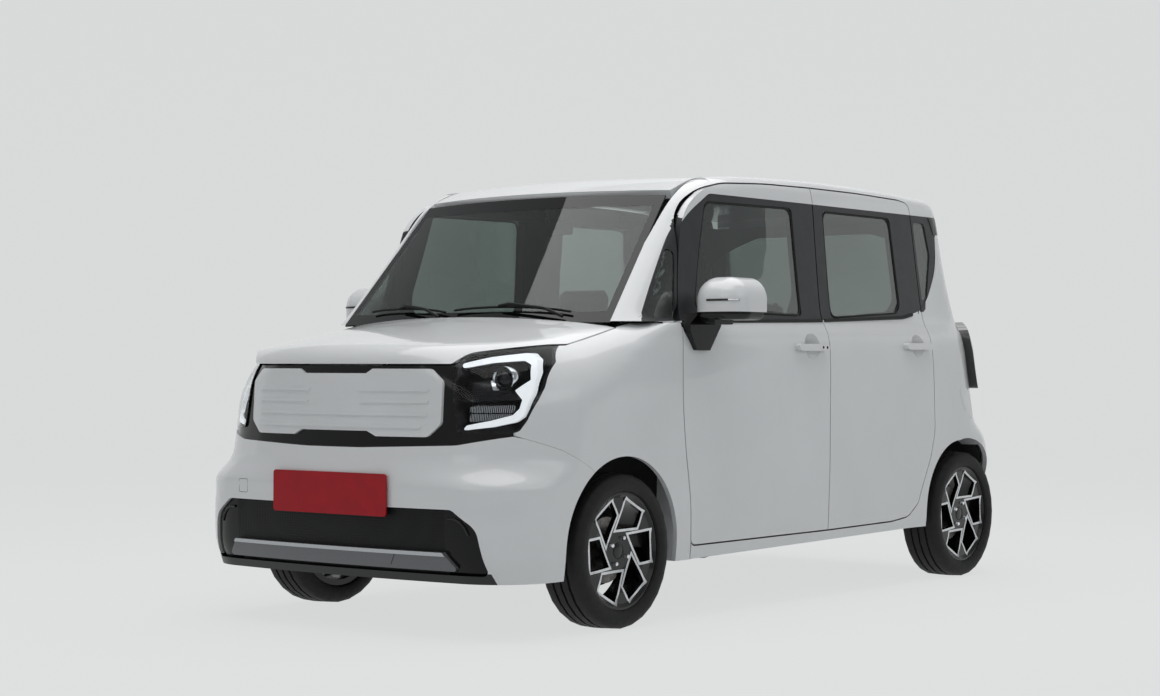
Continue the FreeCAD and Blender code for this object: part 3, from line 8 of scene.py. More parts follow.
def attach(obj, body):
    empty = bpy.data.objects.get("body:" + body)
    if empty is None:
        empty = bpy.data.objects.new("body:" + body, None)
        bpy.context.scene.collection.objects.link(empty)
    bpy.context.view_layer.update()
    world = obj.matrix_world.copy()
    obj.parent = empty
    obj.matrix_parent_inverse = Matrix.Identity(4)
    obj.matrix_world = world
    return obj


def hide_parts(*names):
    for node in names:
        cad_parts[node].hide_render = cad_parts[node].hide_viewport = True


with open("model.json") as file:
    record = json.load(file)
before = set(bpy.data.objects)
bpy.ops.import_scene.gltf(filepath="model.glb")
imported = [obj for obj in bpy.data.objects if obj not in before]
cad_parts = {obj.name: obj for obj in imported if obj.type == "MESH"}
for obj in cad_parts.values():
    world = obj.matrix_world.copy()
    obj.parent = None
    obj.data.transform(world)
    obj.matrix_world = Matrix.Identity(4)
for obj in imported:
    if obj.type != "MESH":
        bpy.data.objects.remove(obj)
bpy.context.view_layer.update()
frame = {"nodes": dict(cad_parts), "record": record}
nodes = frame["nodes"]
print("frame loaded")

# camera first: fitted to the photograph, 1160 x 696
cameraValues = {"place": (7.2852, 5.4222, 0.938), "yaw": 218.079, "pitch": 0.444,
                "roll": 0.078, "lens": 67.69}
cameraData = bpy.data.cameras.new("studioCamera")
cameraData.lens = cameraValues["lens"]
cameraData.sensor_width = 36
cameraData.clip_end = 100
cameraObject = bpy.data.objects.new("studioCamera", cameraData)
bpy.context.collection.objects.link(cameraObject)
cameraTurn = Euler((math.radians(90 + cameraValues["pitch"]), 0, math.radians(cameraValues["yaw"] - 90)))
cameraObject.matrix_world = (Matrix.Translation(cameraValues["place"]) @ cameraTurn.to_matrix().to_4x4()
                             @ Matrix.Rotation(math.radians(cameraValues["roll"]), 4, "Z"))
bpy.context.scene.camera = cameraObject
bpy.context.scene.view_settings.view_transform = "Standard"


def linear(hexColour):
    parts = [int(hexColour[i:i + 2], 16) / 255 for i in (0, 2, 4)]
    return [p / 12.92 if p <= 0.04045 else ((p + 0.055) / 1.055) ** 2.4 for p in parts] + [1.0]


def addNode(tree, kind, settings=None, links=None):
    # settings: attributes or input values; links: input name to (node, output name)
    node = tree.nodes.new(kind)
    for name, value in (settings or {}).items():
        if name in node.inputs:
            node.inputs[name].default_value = value
        else:
            setattr(node, name, value)
    for name, (source, output) in (links or {}).items():
        tree.links.new(source.outputs[output], node.inputs[name])
    return node


def newMaterial(name, settings):
    material = bpy.data.materials.new(name)
    material.use_nodes = True
    tree = material.node_tree
    tree.nodes.clear()
    shader = addNode(tree, "ShaderNodeBsdfPrincipled", settings)
    addNode(tree, "ShaderNodeOutputMaterial", None, {"Surface": (shader, "BSDF")})
    return material, tree, shader


def rampNode(tree, pattern, output, low, dark, high, bright):
    ramp = addNode(tree, "ShaderNodeValToRGB", None, {"Fac": (pattern, output)})
    ramp.color_ramp.elements[0].position = low
    ramp.color_ramp.elements[0].color = linear(dark)
    ramp.color_ramp.elements[1].position = high
    ramp.color_ramp.elements[1].color = linear(bright)
    return ramp


def spanNode(tree, source, output, start, end):
    return addNode(tree, "ShaderNodeMapRange", {"To Min": start, "To Max": end},
                   {"Value": (source, output)})


def shadeColour(tree, shader, first, second, size, detail=3):
    # two near colours in soft patches, size in metres
    place = addNode(tree, "ShaderNodeTexCoord")
    noise = addNode(tree, "ShaderNodeTexNoise", {"Scale": 1 / size, "Detail": detail},
                    {"Vector": (place, "Object")})
    ramp = rampNode(tree, noise, "Fac", 0.35, first, 0.65, second)
    tree.links.new(ramp.outputs["Color"], shader.inputs["Base Color"])
    return place


def roughen(tree, shader, place, size, low, high):
    noise = addNode(tree, "ShaderNodeTexNoise", {"Scale": 1 / size, "Detail": 4},
                    {"Vector": (place, "Object")})
    span = spanNode(tree, noise, "Fac", low, high)
    tree.links.new(span.outputs["Result"], shader.inputs["Roughness"])


def grain(tree, shader, place, size, height, kind="ShaderNodeTexNoise", output="Fac", strength=0.5):
    pattern = addNode(tree, kind, {"Scale": 1 / size}, {"Vector": (place, "Object")})
    bump = addNode(tree, "ShaderNodeBump", {"Strength": strength, "Distance": height},
                   {"Height": (pattern, output)})
    tree.links.new(bump.outputs["Normal"], shader.inputs["Normal"])


def maskNode(tree, tests):
    # 1 where any test holds: (weights of |x|, |y| and |z|), comparison, limit in metres
    place = addNode(tree, "ShaderNodeTexCoord")
    fold = addNode(tree, "ShaderNodeVectorMath", {"operation": "ABSOLUTE"}, {0: (place, "Object")})
    joined = None
    for weights, comparison, limit in tests:
        measure = addNode(tree, "ShaderNodeVectorMath", {"operation": "DOT_PRODUCT"}, {0: (fold, 0)})
        measure.inputs[1].default_value = weights
        edge = addNode(tree, "ShaderNodeMath", {"operation": comparison}, {0: (measure, "Value")})
        edge.inputs[1].default_value = limit
        if joined:
            edge = addNode(tree, "ShaderNodeMath", {"operation": "MAXIMUM"}, {0: (edge, 0), 1: (joined, 0)})
        joined = edge
    return joined


def mixedColour(tree, shader, mask, first, second):
    # first where the mask is 0: a colour, or the ramp node that gives it
    tone = addNode(tree, "ShaderNodeMix", {"data_type": "RGBA"}, {0: (mask, 0)})
    if isinstance(first, str):
        tone.inputs[6].default_value = linear(first)
    else:
        tree.links.new(first.outputs["Color"], tone.inputs[6])
    tone.inputs[7].default_value = linear(second)
    tree.links.new(tone.outputs[2], shader.inputs["Base Color"])


# finishes, one per real material
finishes = {}

# solid white two-stage car paint, sprayed: a clear coat with faint orange peel of about 3 mm
material, tree, shader = newMaterial("sprayedWhitePaint", {
    "Roughness": 0.42, "IOR": 1.5, "Coat Weight": 1.0, "Coat Roughness": 0.035, "Coat IOR": 1.5})
place = shadeColour(tree, shader, "E3E5E6", "E7E9EA", 0.35)
grain(tree, shader, place, 0.003, 0.00006, strength=0.25)
finishes["whitePaint"] = material

# piano-black ABS, moulded and polished: deep gloss
material, tree, shader = newMaterial("polishedBlackPlastic", {
    "Roughness": 0.16, "IOR": 1.5, "Specular IOR Level": 0.3, "Coat Weight": 0.25, "Coat Roughness": 0.03})
shadeColour(tree, shader, "040405", "070709", 0.08)
finishes["glossBlack"] = material

# black polypropylene, moulded with a fine leather grain of about 1 mm, shown at 1.6 mm
material, tree, shader = newMaterial("grainedBlackPlastic", {"IOR": 1.49, "Specular IOR Level": 0.3})
place = shadeColour(tree, shader, "0C0D0E", "131415", 0.05)
roughen(tree, shader, place, 0.02, 0.42, 0.58)
grain(tree, shader, place, 0.0016, 0.0003, "ShaderNodeTexVoronoi", "Distance")
finishes["blackPlastic"] = material

# sash tape and door-frame film: satin black
material, tree, shader = newMaterial("satinBlackFilm", {"IOR": 1.5})
place = shadeColour(tree, shader, "222426", "282A2D", 0.06)
roughen(tree, shader, place, 0.02, 0.32, 0.42)
finishes["sashBlack"] = material

# satin silver paint on moulded plastic: fine flake and soft highlight
material, tree, shader = newMaterial("satinSilverPaint", {
    "Metallic": 0.75, "Coat Weight": 0.4, "Coat Roughness": 0.12})
place = shadeColour(tree, shader, "A7A9AC", "B9BBBE", 0.0012, 1)
roughen(tree, shader, place, 0.01, 0.28, 0.36)
finishes["silverPaint"] = material

# dark grey satin paint on the skid plate's face
material, tree, shader = newMaterial("satinGreyPaint", {
    "Metallic": 0.6, "Coat Weight": 0.3, "Coat Roughness": 0.12})
place = shadeColour(tree, shader, "5B5D60", "696B6E", 0.0012, 1)
roughen(tree, shader, place, 0.01, 0.3, 0.38)
finishes["greyPaint"] = material

# privacy glass, tempered and body-tinted grey-green in soft patches
material, tree, shader = newMaterial("privacyGlass", {
    "Roughness": 0.0, "IOR": 1.8, "Transmission Weight": 1.0})
shadeColour(tree, shader, "95A09C", "9EA9A5", 0.4)
finishes["tintedGlass"] = material

# laminated windscreen, faintly green, with the black ceramic border fired on round its edge
material, tree, shader = newMaterial("laminatedGlass", {"Roughness": 0.0, "IOR": 1.5})
edge = maskNode(tree, [((0, 1, 0.1286), "GREATER_THAN", 0.772), ((0, 0, 1), "GREATER_THAN", 1.541),
                       ((0, 0, 1), "LESS_THAN", 1.132)])
mixedColour(tree, shader, edge, "A3AEA9", "0A0B0C")
solid = spanNode(tree, edge, 0, 1.0, 0.0)
tree.links.new(solid.outputs["Result"], shader.inputs["Transmission Weight"])
finishes["clearGlass"] = material

# white paint of the bumpers, whose lowest part in the middle is bare black plastic
for word, height, width in (("bumperPaint", 0.2335, 0.722), ("rearBumperPaint", 0.385, 0.700)):
    material, tree, shader = newMaterial("paintedBumper", {"Roughness": 0.42, "IOR": 1.5, "Coat IOR": 1.5})
    edge = maskNode(tree, [((0, 0, 1), "LESS_THAN", height)])
    ends = maskNode(tree, [((0, 1, 0.25), "LESS_THAN", width)])
    both = addNode(tree, "ShaderNodeMath", {"operation": "MULTIPLY"}, {0: (edge, 0), 1: (ends, 0)})
    mixedColour(tree, shader, both, "E5E7E8", "0C0D0E")
    gloss = spanNode(tree, both, 0, 1.0, 0.0)
    tree.links.new(gloss.outputs["Result"], shader.inputs["Coat Weight"])
    shader.inputs["Coat Roughness"].default_value = 0.035
    place = addNode(tree, "ShaderNodeTexCoord")
    grain(tree, shader, place, 0.003, 0.00006, strength=0.25)
    finishes[word] = material

# red acrylic of the small rear lamps, moulded over a fine prism grid
material, tree, shader = newMaterial("redLampAcrylic", {"Roughness": 0.1, "IOR": 1.49, "Coat Weight": 0.6})
place = shadeColour(tree, shader, "7A0A0E", "8C0D12", 0.004, 1)
grain(tree, shader, place, 0.002, 0.0003, "ShaderNodeTexVoronoi", "Distance")
finishes["redLens"] = material

# smoky polycarbonate tail lens, moulded, with faint ribs and a black border on three sides
material, tree, shader = newMaterial("smokyLampLens", {
    "Roughness": 0.06, "IOR": 1.58, "Coat Weight": 1.0, "Coat Roughness": 0.02})
place = addNode(tree, "ShaderNodeTexCoord")
waves = addNode(tree, "ShaderNodeTexWave", {"Scale": 26.0, "bands_direction": "Z"},
                {"Vector": (place, "Object")})
bump = addNode(tree, "ShaderNodeBump", {"Strength": 0.3, "Distance": 0.0008}, {"Height": (waves, "Fac")})
tree.links.new(bump.outputs["Normal"], shader.inputs["Normal"])
edge = maskNode(tree, [((1, 0, 0.422), "LESS_THAN", 1.873), ((1, 0, -1.667), "LESS_THAN", -0.345),
                       ((0, 0, 1), "LESS_THAN", 0.875)])
mixedColour(tree, shader, edge, "686A6A", "030304")
finishes["lampSmoke"] = material

# diffusing white light guide, lit
material, tree, shader = newMaterial("litLightGuide", {
    "Roughness": 0.25, "IOR": 1.58, "Emission Color": linear("F4F7FA"), "Emission Strength": 0.55})
shadeColour(tree, shader, "EEF1F4", "F6F8FA", 0.02)
finishes["lampWhite"] = material

# vacuum-plated chrome on plastic
material, tree, shader = newMaterial("platedChrome", {"Metallic": 1.0})
place = shadeColour(tree, shader, "D9DBDD", "E4E6E8", 0.02)
roughen(tree, shader, place, 0.01, 0.05, 0.1)
finishes["chrome"] = material

# turned steel brake disc with a thin brown film of rust
material, tree, shader = newMaterial("turnedBrakeSteel", {"Metallic": 1.0})
place = shadeColour(tree, shader, "6E6A66", "8C8A88", 0.012)
roughen(tree, shader, place, 0.004, 0.3, 0.45)
finishes["discSteel"] = material

# fine black mesh over the lower air opening, cells about 9 mm across, with painted shade in the middle of
# each cell for its opening, between two polished wings
material, tree, shader = newMaterial("blackAirMesh", {"Specular IOR Level": 0.25})
place = addNode(tree, "ShaderNodeTexCoord")
cells = addNode(tree, "ShaderNodeTexVoronoi", {"Scale": 110.0, "Randomness": 0.0},
                {"Vector": (place, "Object")})
# the middles of the cells are painted darker: painted shade seen through the mesh's openings
ramp = rampNode(tree, cells, "Distance", 0.36, "020202", 0.44, "0E0F11")
edge = maskNode(tree, [((0, 1, 0), "GREATER_THAN", 0.505)])
mixedColour(tree, shader, edge, ramp, "040405")
gloss = spanNode(tree, edge, 0, 0.5, 0.16)
tree.links.new(gloss.outputs["Result"], shader.inputs["Roughness"])
relief = spanNode(tree, edge, 0, 0.6, 0.0)
bump = addNode(tree, "ShaderNodeBump", {"Distance": 0.002},
               {"Height": (cells, "Distance"), "Strength": (relief, "Result")})
tree.links.new(bump.outputs["Normal"], shader.inputs["Normal"])
finishes["airMesh"] = material

# vacuum-plated reflector: upright flutes 5 mm apart, with painted shade between them, and a black step
material, tree, shader = newMaterial("flutedReflector", {"Metallic": 1.0, "Roughness": 0.18})
place = addNode(tree, "ShaderNodeTexCoord")
fluteShadeBands = addNode(tree, "ShaderNodeTexWave", {"Scale": 63.0, "bands_direction": "Y"},
                 {"Vector": (place, "Object")})
# the dark bands between the flutes are painted shade on the plating
ramp = rampNode(tree, fluteShadeBands, "Fac", 0.35, "0B0C0E", 0.75, "D4D6D8")
above = maskNode(tree, [((0, 0, 1), "GREATER_THAN", 0.7695)])
below = maskNode(tree, [((0, 0, 1), "LESS_THAN", 0.7735)])
step = addNode(tree, "ShaderNodeMath", {"operation": "MULTIPLY"}, {0: (above, 0), 1: (below, 0)})
mixedColour(tree, shader, step, ramp, "08090A")
finishes["reflector"] = material

# dark glass of the lamp's projector
material, tree, shader = newMaterial("projectorGlass", {"Roughness": 0.02, "IOR": 1.5, "Coat Weight": 1.0})
shadeColour(tree, shader, "08090D", "12141A", 0.02)
finishes["darkLens"] = material

# clear polycarbonate lamp cover
material, tree, shader = newMaterial("clearLampLens", {
    "Base Color": linear("F2F4F5"), "Roughness": 0.0, "IOR": 1.2, "Transmission Weight": 1.0})
finishes["lampClear"] = material

# rubber tyre compound, moulded: dull dark grey, faintly dusty
material, tree, shader = newMaterial("mouldedRubber", {"IOR": 1.52, "Specular IOR Level": 0.35})
place = shadeColour(tree, shader, "0E0E0E", "151514", 0.03)
roughen(tree, shader, place, 0.02, 0.55, 0.75)
grain(tree, shader, place, 0.0012, 0.00015)
finishes["rubber"] = material

# gloss black paint on a cast alloy wheel
material, tree, shader = newMaterial("glossBlackWheelPaint", {
    "Roughness": 0.25, "Specular IOR Level": 0.3, "Coat Weight": 0.3, "Coat Roughness": 0.04})
shadeColour(tree, shader, "050506", "09090A", 0.05)
finishes["wheelBlack"] = material

# diamond-cut aluminium under lacquer: bright and finely streaked
material, tree, shader = newMaterial("diamondCutAluminium", {
    "Metallic": 1.0, "Coat Weight": 0.7, "Coat Roughness": 0.04})
place = shadeColour(tree, shader, "C9CBCE", "DADCDE", 0.02)
roughen(tree, shader, place, 0.004, 0.22, 0.32)
finishes["machinedAlloy"] = material

# grey cast iron and steel under the car
material, tree, shader = newMaterial("castIron", {"Metallic": 0.7})
place = shadeColour(tree, shader, "3A3A3B", "4A4A4A", 0.02)
roughen(tree, shader, place, 0.01, 0.5, 0.7)
grain(tree, shader, place, 0.002, 0.0003)
finishes["castMetal"] = material

# black e-coat on pressed steel with sprayed sealer
material, tree, shader = newMaterial("blackUnderseal", {"IOR": 1.5})
place = shadeColour(tree, shader, "0F1011", "191A1B", 0.06)
roughen(tree, shader, place, 0.02, 0.55, 0.75)
grain(tree, shader, place, 0.004, 0.0008)
finishes["underseal"] = material

# aluminised exhaust steel
material, tree, shader = newMaterial("aluminisedSteel", {"Metallic": 1.0})
place = shadeColour(tree, shader, "77746E", "8E8B85", 0.03)
roughen(tree, shader, place, 0.01, 0.35, 0.5)
finishes["pipeSteel"] = material

# soft-touch cabin plastic, slush moulded with 1.5 mm grain
material, tree, shader = newMaterial("cabinPlastic", {"IOR": 1.46})
place = shadeColour(tree, shader, "1B1C1E", "232426", 0.04)
roughen(tree, shader, place, 0.02, 0.6, 0.75)
grain(tree, shader, place, 0.0015, 0.0003, "ShaderNodeTexVoronoi", "Distance")
finishes["cabinPlastic"] = material

# woven seat fabric, threads about 1.2 mm apart, shown at 2.4 mm
material, tree, shader = newMaterial("wovenSeatFabric", {"Roughness": 0.9, "Sheen Weight": 0.4})
place = shadeColour(tree, shader, "1E1F22", "2D2E32", 0.0024, 1)
grain(tree, shader, place, 0.0024, 0.0006)
finishes["seatFabric"] = material

# red screen paint on a pressed plate
material, tree, shader = newMaterial("redPlatePaint", {
    "Specular IOR Level": 0.2, "Coat Weight": 0.15, "Coat Roughness": 0.08})
place = shadeColour(tree, shader, "A30818", "AE0B1D", 0.06)
roughen(tree, shader, place, 0.03, 0.28, 0.36)
finishes["plateRed"] = material
print("finishes made")

nodeFinish = {
    "tinted_glass": "tintedGlass", "clear_glass": "clearGlass", "lamp_smoke": "lampSmoke",
    "lamp_cover": "lampClear", "lamp_white": "lampWhite", "gloss_black": "glossBlack",
    "white_paint": "whitePaint", "black_plastic": "blackPlastic", "silver_plastic": "silverPaint",
    "cast_metal": "castMetal", "chassis_black": "underseal", "steel_pipe": "pipeSteel",
    "cabin_plastic": "cabinPlastic", "seat_fabric": "seatFabric", "plate": "plateRed", "tyre": "rubber",
    "wheel_alloy": "wheelBlack"}
for subpart in frame["record"]["subparts"]:
    node = nodes[subpart["node"]]
    finish = finishes[nodeFinish[subpart["material_slot"]]]
    if not node.material_slots:
        node.data.materials.append(finish)
    for slotNumber in range(len(node.material_slots)):
        node.material_slots[slotNumber].material = finish


def insideOutline(x, z, outline):
    inside = False
    for (x1, z1), (x2, z2) in zip(outline, outline[1:] + outline[:1]):
        if (z1 > z) != (z2 > z) and x < (x2 - x1) * (z - z1) / (z2 - z1) + x1:
            inside = not inside
    return inside


def paintFaces(node, finish, test):
    # gives the faces whose middle and direction pass the test another finish
    mesh = node.data
    mesh.materials.append(finishes[finish])
    number = len(mesh.materials) - 1
    for face in mesh.polygons:
        if test(face.center, face.normal):
            face.material_index = number


# dark band round the side windows, and trim on the cabin side of doors and posts
sashOutline = [(0.965, 1.094), (0.738, 1.101), (-0.235, 1.120), (-0.920, 1.146), (-1.120, 1.174),
               (-1.247, 1.360), (-1.262, 1.500), (-1.290, 1.590), (0.470, 1.590), (0.658, 1.482)]


def sashTest(side):
    def test(centre, normal):
        x, y, z = centre.x, centre.y * side, centre.z
        return insideOutline(x, z, sashOutline) and normal.y * side < 0.999 and y > 0.55 and (
            normal.y * side < 0.6 or sunk(x, y, z))
    return test


sideLine = [(1.060, 0.785), (1.100, 0.768), (1.138, 0.7545), (1.358, 0.730), (1.523, 0.717), (1.590, 0.711)]


def sunk(x, y, z):
    # true a little under the outer skin, where the band lies
    for (z1, y1), (z2, y2) in zip(sideLine, sideLine[1:]):
        if z1 <= z <= z2:
            skin = y1 + (y2 - y1) * (z - z1) / (z2 - z1)
            bow = 0.003 + 0.012 * (x > -0.3) * min(1, max(0, (z - 1.1) / 0.3))
            return y < skin - bow * (x + 0.3) ** 2 - 0.0008 or x < -1.0
    return False


for name in ("front_door", "rear_door", "body_side"):
    for side, word in ((1, "_left"), (-1, "_right")):
        paintFaces(nodes[name + word], "cabinPlastic", lambda c, n, s=side: n.y * s < -0.45 and c.z > 0.28)
        paintFaces(nodes[name + word], "sashBlack", sashTest(side))
for side in (1, -1):
    paintFaces(nodes["windscreen_pillars"], "sashBlack",
               lambda c, n, s=side: c.y * s > 0.5 and insideOutline(c.x, c.z, sashOutline) and (
                   n.y * s < 0.6 or sunk(c.x, c.y * s, c.z)))
for side in (1, -1):
    paintFaces(nodes["headlamps"], "chrome", lambda c, n, s=side: c.x > 1.515 and n.x > 0.3
               and 0.0365 < math.hypot(c.y * s - 0.592, c.z - 0.887) < 0.0455)
    paintFaces(nodes["headlamps"], "reflector", lambda c, n, s=side: 0.53 < c.y * s < 0.648
               and 0.745 < c.z < 0.798 and n.x > 0.4)
for name, finish in (("front_bumper", "bumperPaint"), ("rear_bumper", "rearBumperPaint")):
    for slotNumber in range(len(nodes[name].material_slots)):
        nodes[name].material_slots[slotNumber].material = finishes[finish]
paintFaces(nodes["front_grilles"], "glossBlack", lambda c, n: c.z > 0.6)
paintFaces(nodes["front_grilles"], "airMesh", lambda c, n: c.z < 0.46 and n.x > 0.1)
paintFaces(nodes["front_skid_plate"], "greyPaint", lambda c, n: n.z < 0.45 and c.z < 0.2885)
for word in ("_left", "_right"):
    paintFaces(nodes["door_mirror" + word], "glossBlack", lambda c, n: c.z < 1.1335)
for corner in ("front_left", "front_right", "rear_left", "rear_right"):
    axle = 1.1025 if "front" in corner else -1.4175
    paintFaces(nodes["rim_" + corner], "discSteel", lambda c, n, a=axle: abs(c.y) < 0.6985
               and math.hypot(c.x - a, c.z - 0.278) < 0.119)
print("nodes painted")


# modelling steps shared by the pieces
def grab(*things):
    if bpy.context.object and bpy.context.object.mode != "OBJECT":
        bpy.ops.object.mode_set(mode="OBJECT")
    bpy.ops.object.select_all(action="DESELECT")
    for thing in things:
        thing.select_set(True)
    bpy.context.view_layer.objects.active = things[0]


def edit(piece):
    grab(piece)
    bpy.ops.object.mode_set(mode="EDIT")
    bpy.ops.mesh.select_mode(type="VERT")
    bpy.ops.mesh.select_all(action="SELECT")


def applyAll(piece):
    grab(piece)
    for modifier in list(piece.modifiers):
        bpy.ops.object.modifier_apply(modifier=modifier.name)


def addModifier(piece, kind, settings):
    modifier = piece.modifiers.new(kind.lower(), kind)
    for name, value in settings.items():
        setattr(modifier, name, value)
    return modifier


def outlineFace(points):
    # a filled circle whose corners are pulled to the outline
    bpy.ops.object.select_all(action="DESELECT")
    bpy.ops.mesh.primitive_circle_add(vertices=len(points), radius=0.1, fill_type="NGON")
    piece = bpy.context.object
    for vertex, point in zip(piece.data.vertices, points):
        vertex.co = point
    return piece


def copied(piece, matrix):
    other = piece.copy()
    other.data = piece.data.copy()
    bpy.context.collection.objects.link(other)
    other.data.transform(matrix)
    if matrix.determinant() < 0:
        other.data.flip_normals()
    return other


def settle(piece, name, body, finish, smooth=35):
    # final name, finish, shading and body
    grab(piece)
    bpy.ops.object.transform_apply(location=True, rotation=True, scale=True)
    piece.name = name
    piece.data.materials.clear()
    piece.data.materials.append(finishes[finish])
    bpy.ops.object.shade_smooth_by_angle(angle=math.radians(smooth))
    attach(piece, body)
    return piece


# wheels: bright borders round the six windows, nuts, hub cap and tyre, in the wheel's own frame
wheelValues = {"hole": [(0.184, 166), (0.184, 200), (0.078, 224), (0.128, 157.5)], "border": 0.0090,
               "middle": 0.696, "height": 0.278, "nutCircle": 0.05, "nutAngle": 63.9, "nutRadius": 0.0098}
wheelPlaces = (("front_left", 1.1025, 1), ("front_right", 1.1025, -1),
               ("rear_left", -1.4175, 1), ("rear_right", -1.4175, -1))
rimFace = [(0.030, 0.056), (0.066, 0.056), (0.150, 0.064), (0.188, 0.064), (0.200, 0.0735), (0.208, 0.0735)]


def wheelSpot(axle, side):
    # the wheel's own frame, its Z outward, set at its place on the car
    turn = Matrix.Rotation(math.radians(-90 * side), 4, "X")
    return Matrix.Translation((axle, side * wheelValues["middle"], wheelValues["height"])) @ turn


def faceHeight(radius):
    for (r1, h1), (r2, h2) in zip(rimFace, rimFace[1:]):
        if radius <= r2:
            return h1 + (h2 - h1) * max(0, radius - r1) / (r2 - r1)
    return rimFace[-1][1]


def polar(radius, angle, height=0.0):
    return Vector((radius * math.cos(math.radians(angle)), radius * math.sin(math.radians(angle)), height))


def makeBorders(values):
    hole = [polar(r, a) for r, a in values["hole"]]
    outer = []
    for i, corner in enumerate(hole):
        before, after = hole[i - 1], hole[(i + 1) % 4]
        first, second = (corner - before).normalized(), (after - corner).normalized()
        side = Vector((first.y, -first.x, 0)) + Vector((second.y, -second.x, 0))
        outer.append(corner + side * (2 * values["border"] / side.dot(side)))
    piece = outlineFace(outer)
    edit(piece)
    bpy.ops.mesh.inset(thickness=values["border"])
    bpy.ops.mesh.delete(type="FACE")
    bpy.ops.object.mode_set(mode="OBJECT")
    inner = [vertex for vertex in piece.data.vertices if min((vertex.co - o).length for o in outer) > 0.002]
    for vertex in inner:
        vertex.co = min(hole, key=lambda corner: (corner - vertex.co).length)
    edit(piece)
    bpy.ops.mesh.subdivide(number_cuts=5)
    bpy.ops.object.mode_set(mode="OBJECT")
    for vertex in piece.data.vertices:
        vertex.co.z = faceHeight(vertex.co.length) + 0.0009
    addModifier(piece, "SOLIDIFY", {"thickness": 0.0022, "offset": -1})
    applyAll(piece)
    edit(piece)
    for _ in range(5):
        bpy.ops.mesh.duplicate()
        bpy.ops.transform.rotate(value=math.radians(60), orient_axis="Z", center_override=(0, 0, 0))
    bpy.ops.object.mode_set(mode="OBJECT")
    return piece


def makeNuts(values):
    bpy.ops.object.select_all(action="DESELECT")
    bpy.ops.mesh.primitive_cylinder_add(vertices=12, radius=values["nutRadius"], depth=0.012)
    piece = bpy.context.object
    for vertex in piece.data.vertices:
        step = round(math.degrees(math.atan2(vertex.co.y, vertex.co.x)) / 30)
        if step % 2:
            vertex.co.x, vertex.co.y = vertex.co.x * 0.88, vertex.co.y * 0.88
        if vertex.co.z > 0:
            vertex.co.x, vertex.co.y = vertex.co.x * 0.82, vertex.co.y * 0.82
    edit(piece)
    bpy.ops.mesh.select_all(action="DESELECT")
    bpy.ops.object.mode_set(mode="OBJECT")
    for face in piece.data.polygons:
        face.select = face.normal.z > 0.9
    bpy.ops.object.mode_set(mode="EDIT")
    bpy.ops.mesh.select_mode(type="FACE")
    bpy.ops.mesh.inset(thickness=0.0022)
    bpy.ops.transform.translate(value=(0, 0, 0.002))
    bpy.ops.mesh.select_mode(type="VERT")
    bpy.ops.mesh.select_all(action="SELECT")
    place = polar(values["nutCircle"], values["nutAngle"], 0.061)
    bpy.ops.transform.translate(value=place)
    for _ in range(3):
        bpy.ops.mesh.duplicate()
        bpy.ops.transform.rotate(value=math.radians(90), orient_axis="Z", center_override=(0, 0, 0))
    bpy.ops.object.mode_set(mode="OBJECT")
    return piece


def spunPiece(profile, steps):
    # a profile of (radius, height) turned about Z
    bpy.ops.object.select_all(action="DESELECT")
    bpy.ops.mesh.primitive_circle_add(vertices=len(profile), radius=0.1, fill_type="NOTHING")
    piece = bpy.context.object
    for vertex, (radius, height) in zip(piece.data.vertices, profile):
        vertex.co = (radius, 0, height)
    edit(piece)
    bpy.ops.mesh.spin(steps=steps, angle=2 * math.pi, center=(0, 0, 0), axis=(0, 0, 1))
    bpy.ops.mesh.select_all(action="SELECT")
    bpy.ops.mesh.remove_doubles(threshold=0.00005)
    bpy.ops.mesh.normals_make_consistent(inside=False)
    bpy.ops.object.mode_set(mode="OBJECT")
    return piece


capProfile = [(0.0002, 0.0575), (0.018, 0.0572), (0.0245, 0.0562), (0.0275, 0.0585), (0.0294, 0.0570),
              (0.0294, 0.045), (0.0002, 0.045)]
tyreInside = [(0.209, -0.072), (0.214, -0.082), (0.224, -0.0862), (0.243, -0.0874), (0.259, -0.0845),
              (0.270, -0.076), (0.2752, -0.066), (0.2766, -0.040), (0.2700, -0.039), (0.2700, -0.031),
              (0.2772, -0.030), (0.2780, -0.005), (0.2705, -0.004)]
tyreProfile = tyreInside + [(radius, -height) for radius, height in reversed(tyreInside)]
borders, nuts = makeBorders(wheelValues), makeNuts(wheelValues)
cap, tyre = spunPiece(capProfile, 32), spunPiece(tyreProfile, 28)
for corner, axle, side in wheelPlaces:
    spot = wheelSpot(axle, side)
    for model, word, finish in ((borders, "windowBorders", "machinedAlloy"), (nuts, "wheelNuts", "chrome"),
                                (cap, "hubCap", "glossBlack"), (tyre, "treadedTyre", "rubber")):
        piece = settle(copied(model, spot), word + "_" + corner, "wheel_" + corner, finish)
        if word == "treadedTyre":
            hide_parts("tyre_" + corner)
for model in (borders, nuts, cap, tyre):
    bpy.data.objects.remove(model)
print("wheels made")


# rods along lines on the body, such as seals, arms and slots; casts start beside, ahead of or behind it
beside, ahead = 1.2, 2.5


def castPoint(node, start, heading):
    found, place, normal, number = nodes[node].ray_cast(Vector(start), Vector(heading))
    return (place, normal) if found else (None, None)


def rod(points, radius, closed=False):
    bpy.ops.object.select_all(action="DESELECT")
    bpy.ops.curve.primitive_nurbs_path_add()
    piece = bpy.context.object
    line = piece.data
    line.splines.clear()
    spline = line.splines.new("POLY")
    spline.points.add(len(points) - 1)
    for point, place in zip(spline.points, points):
        point.co = (*place, 1)
    spline.use_cyclic_u = closed
    line.bevel_depth = radius
    line.bevel_resolution = 2
    line.use_fill_caps = not closed
    grab(piece)
    bpy.ops.object.convert(target="MESH")
    return bpy.context.object


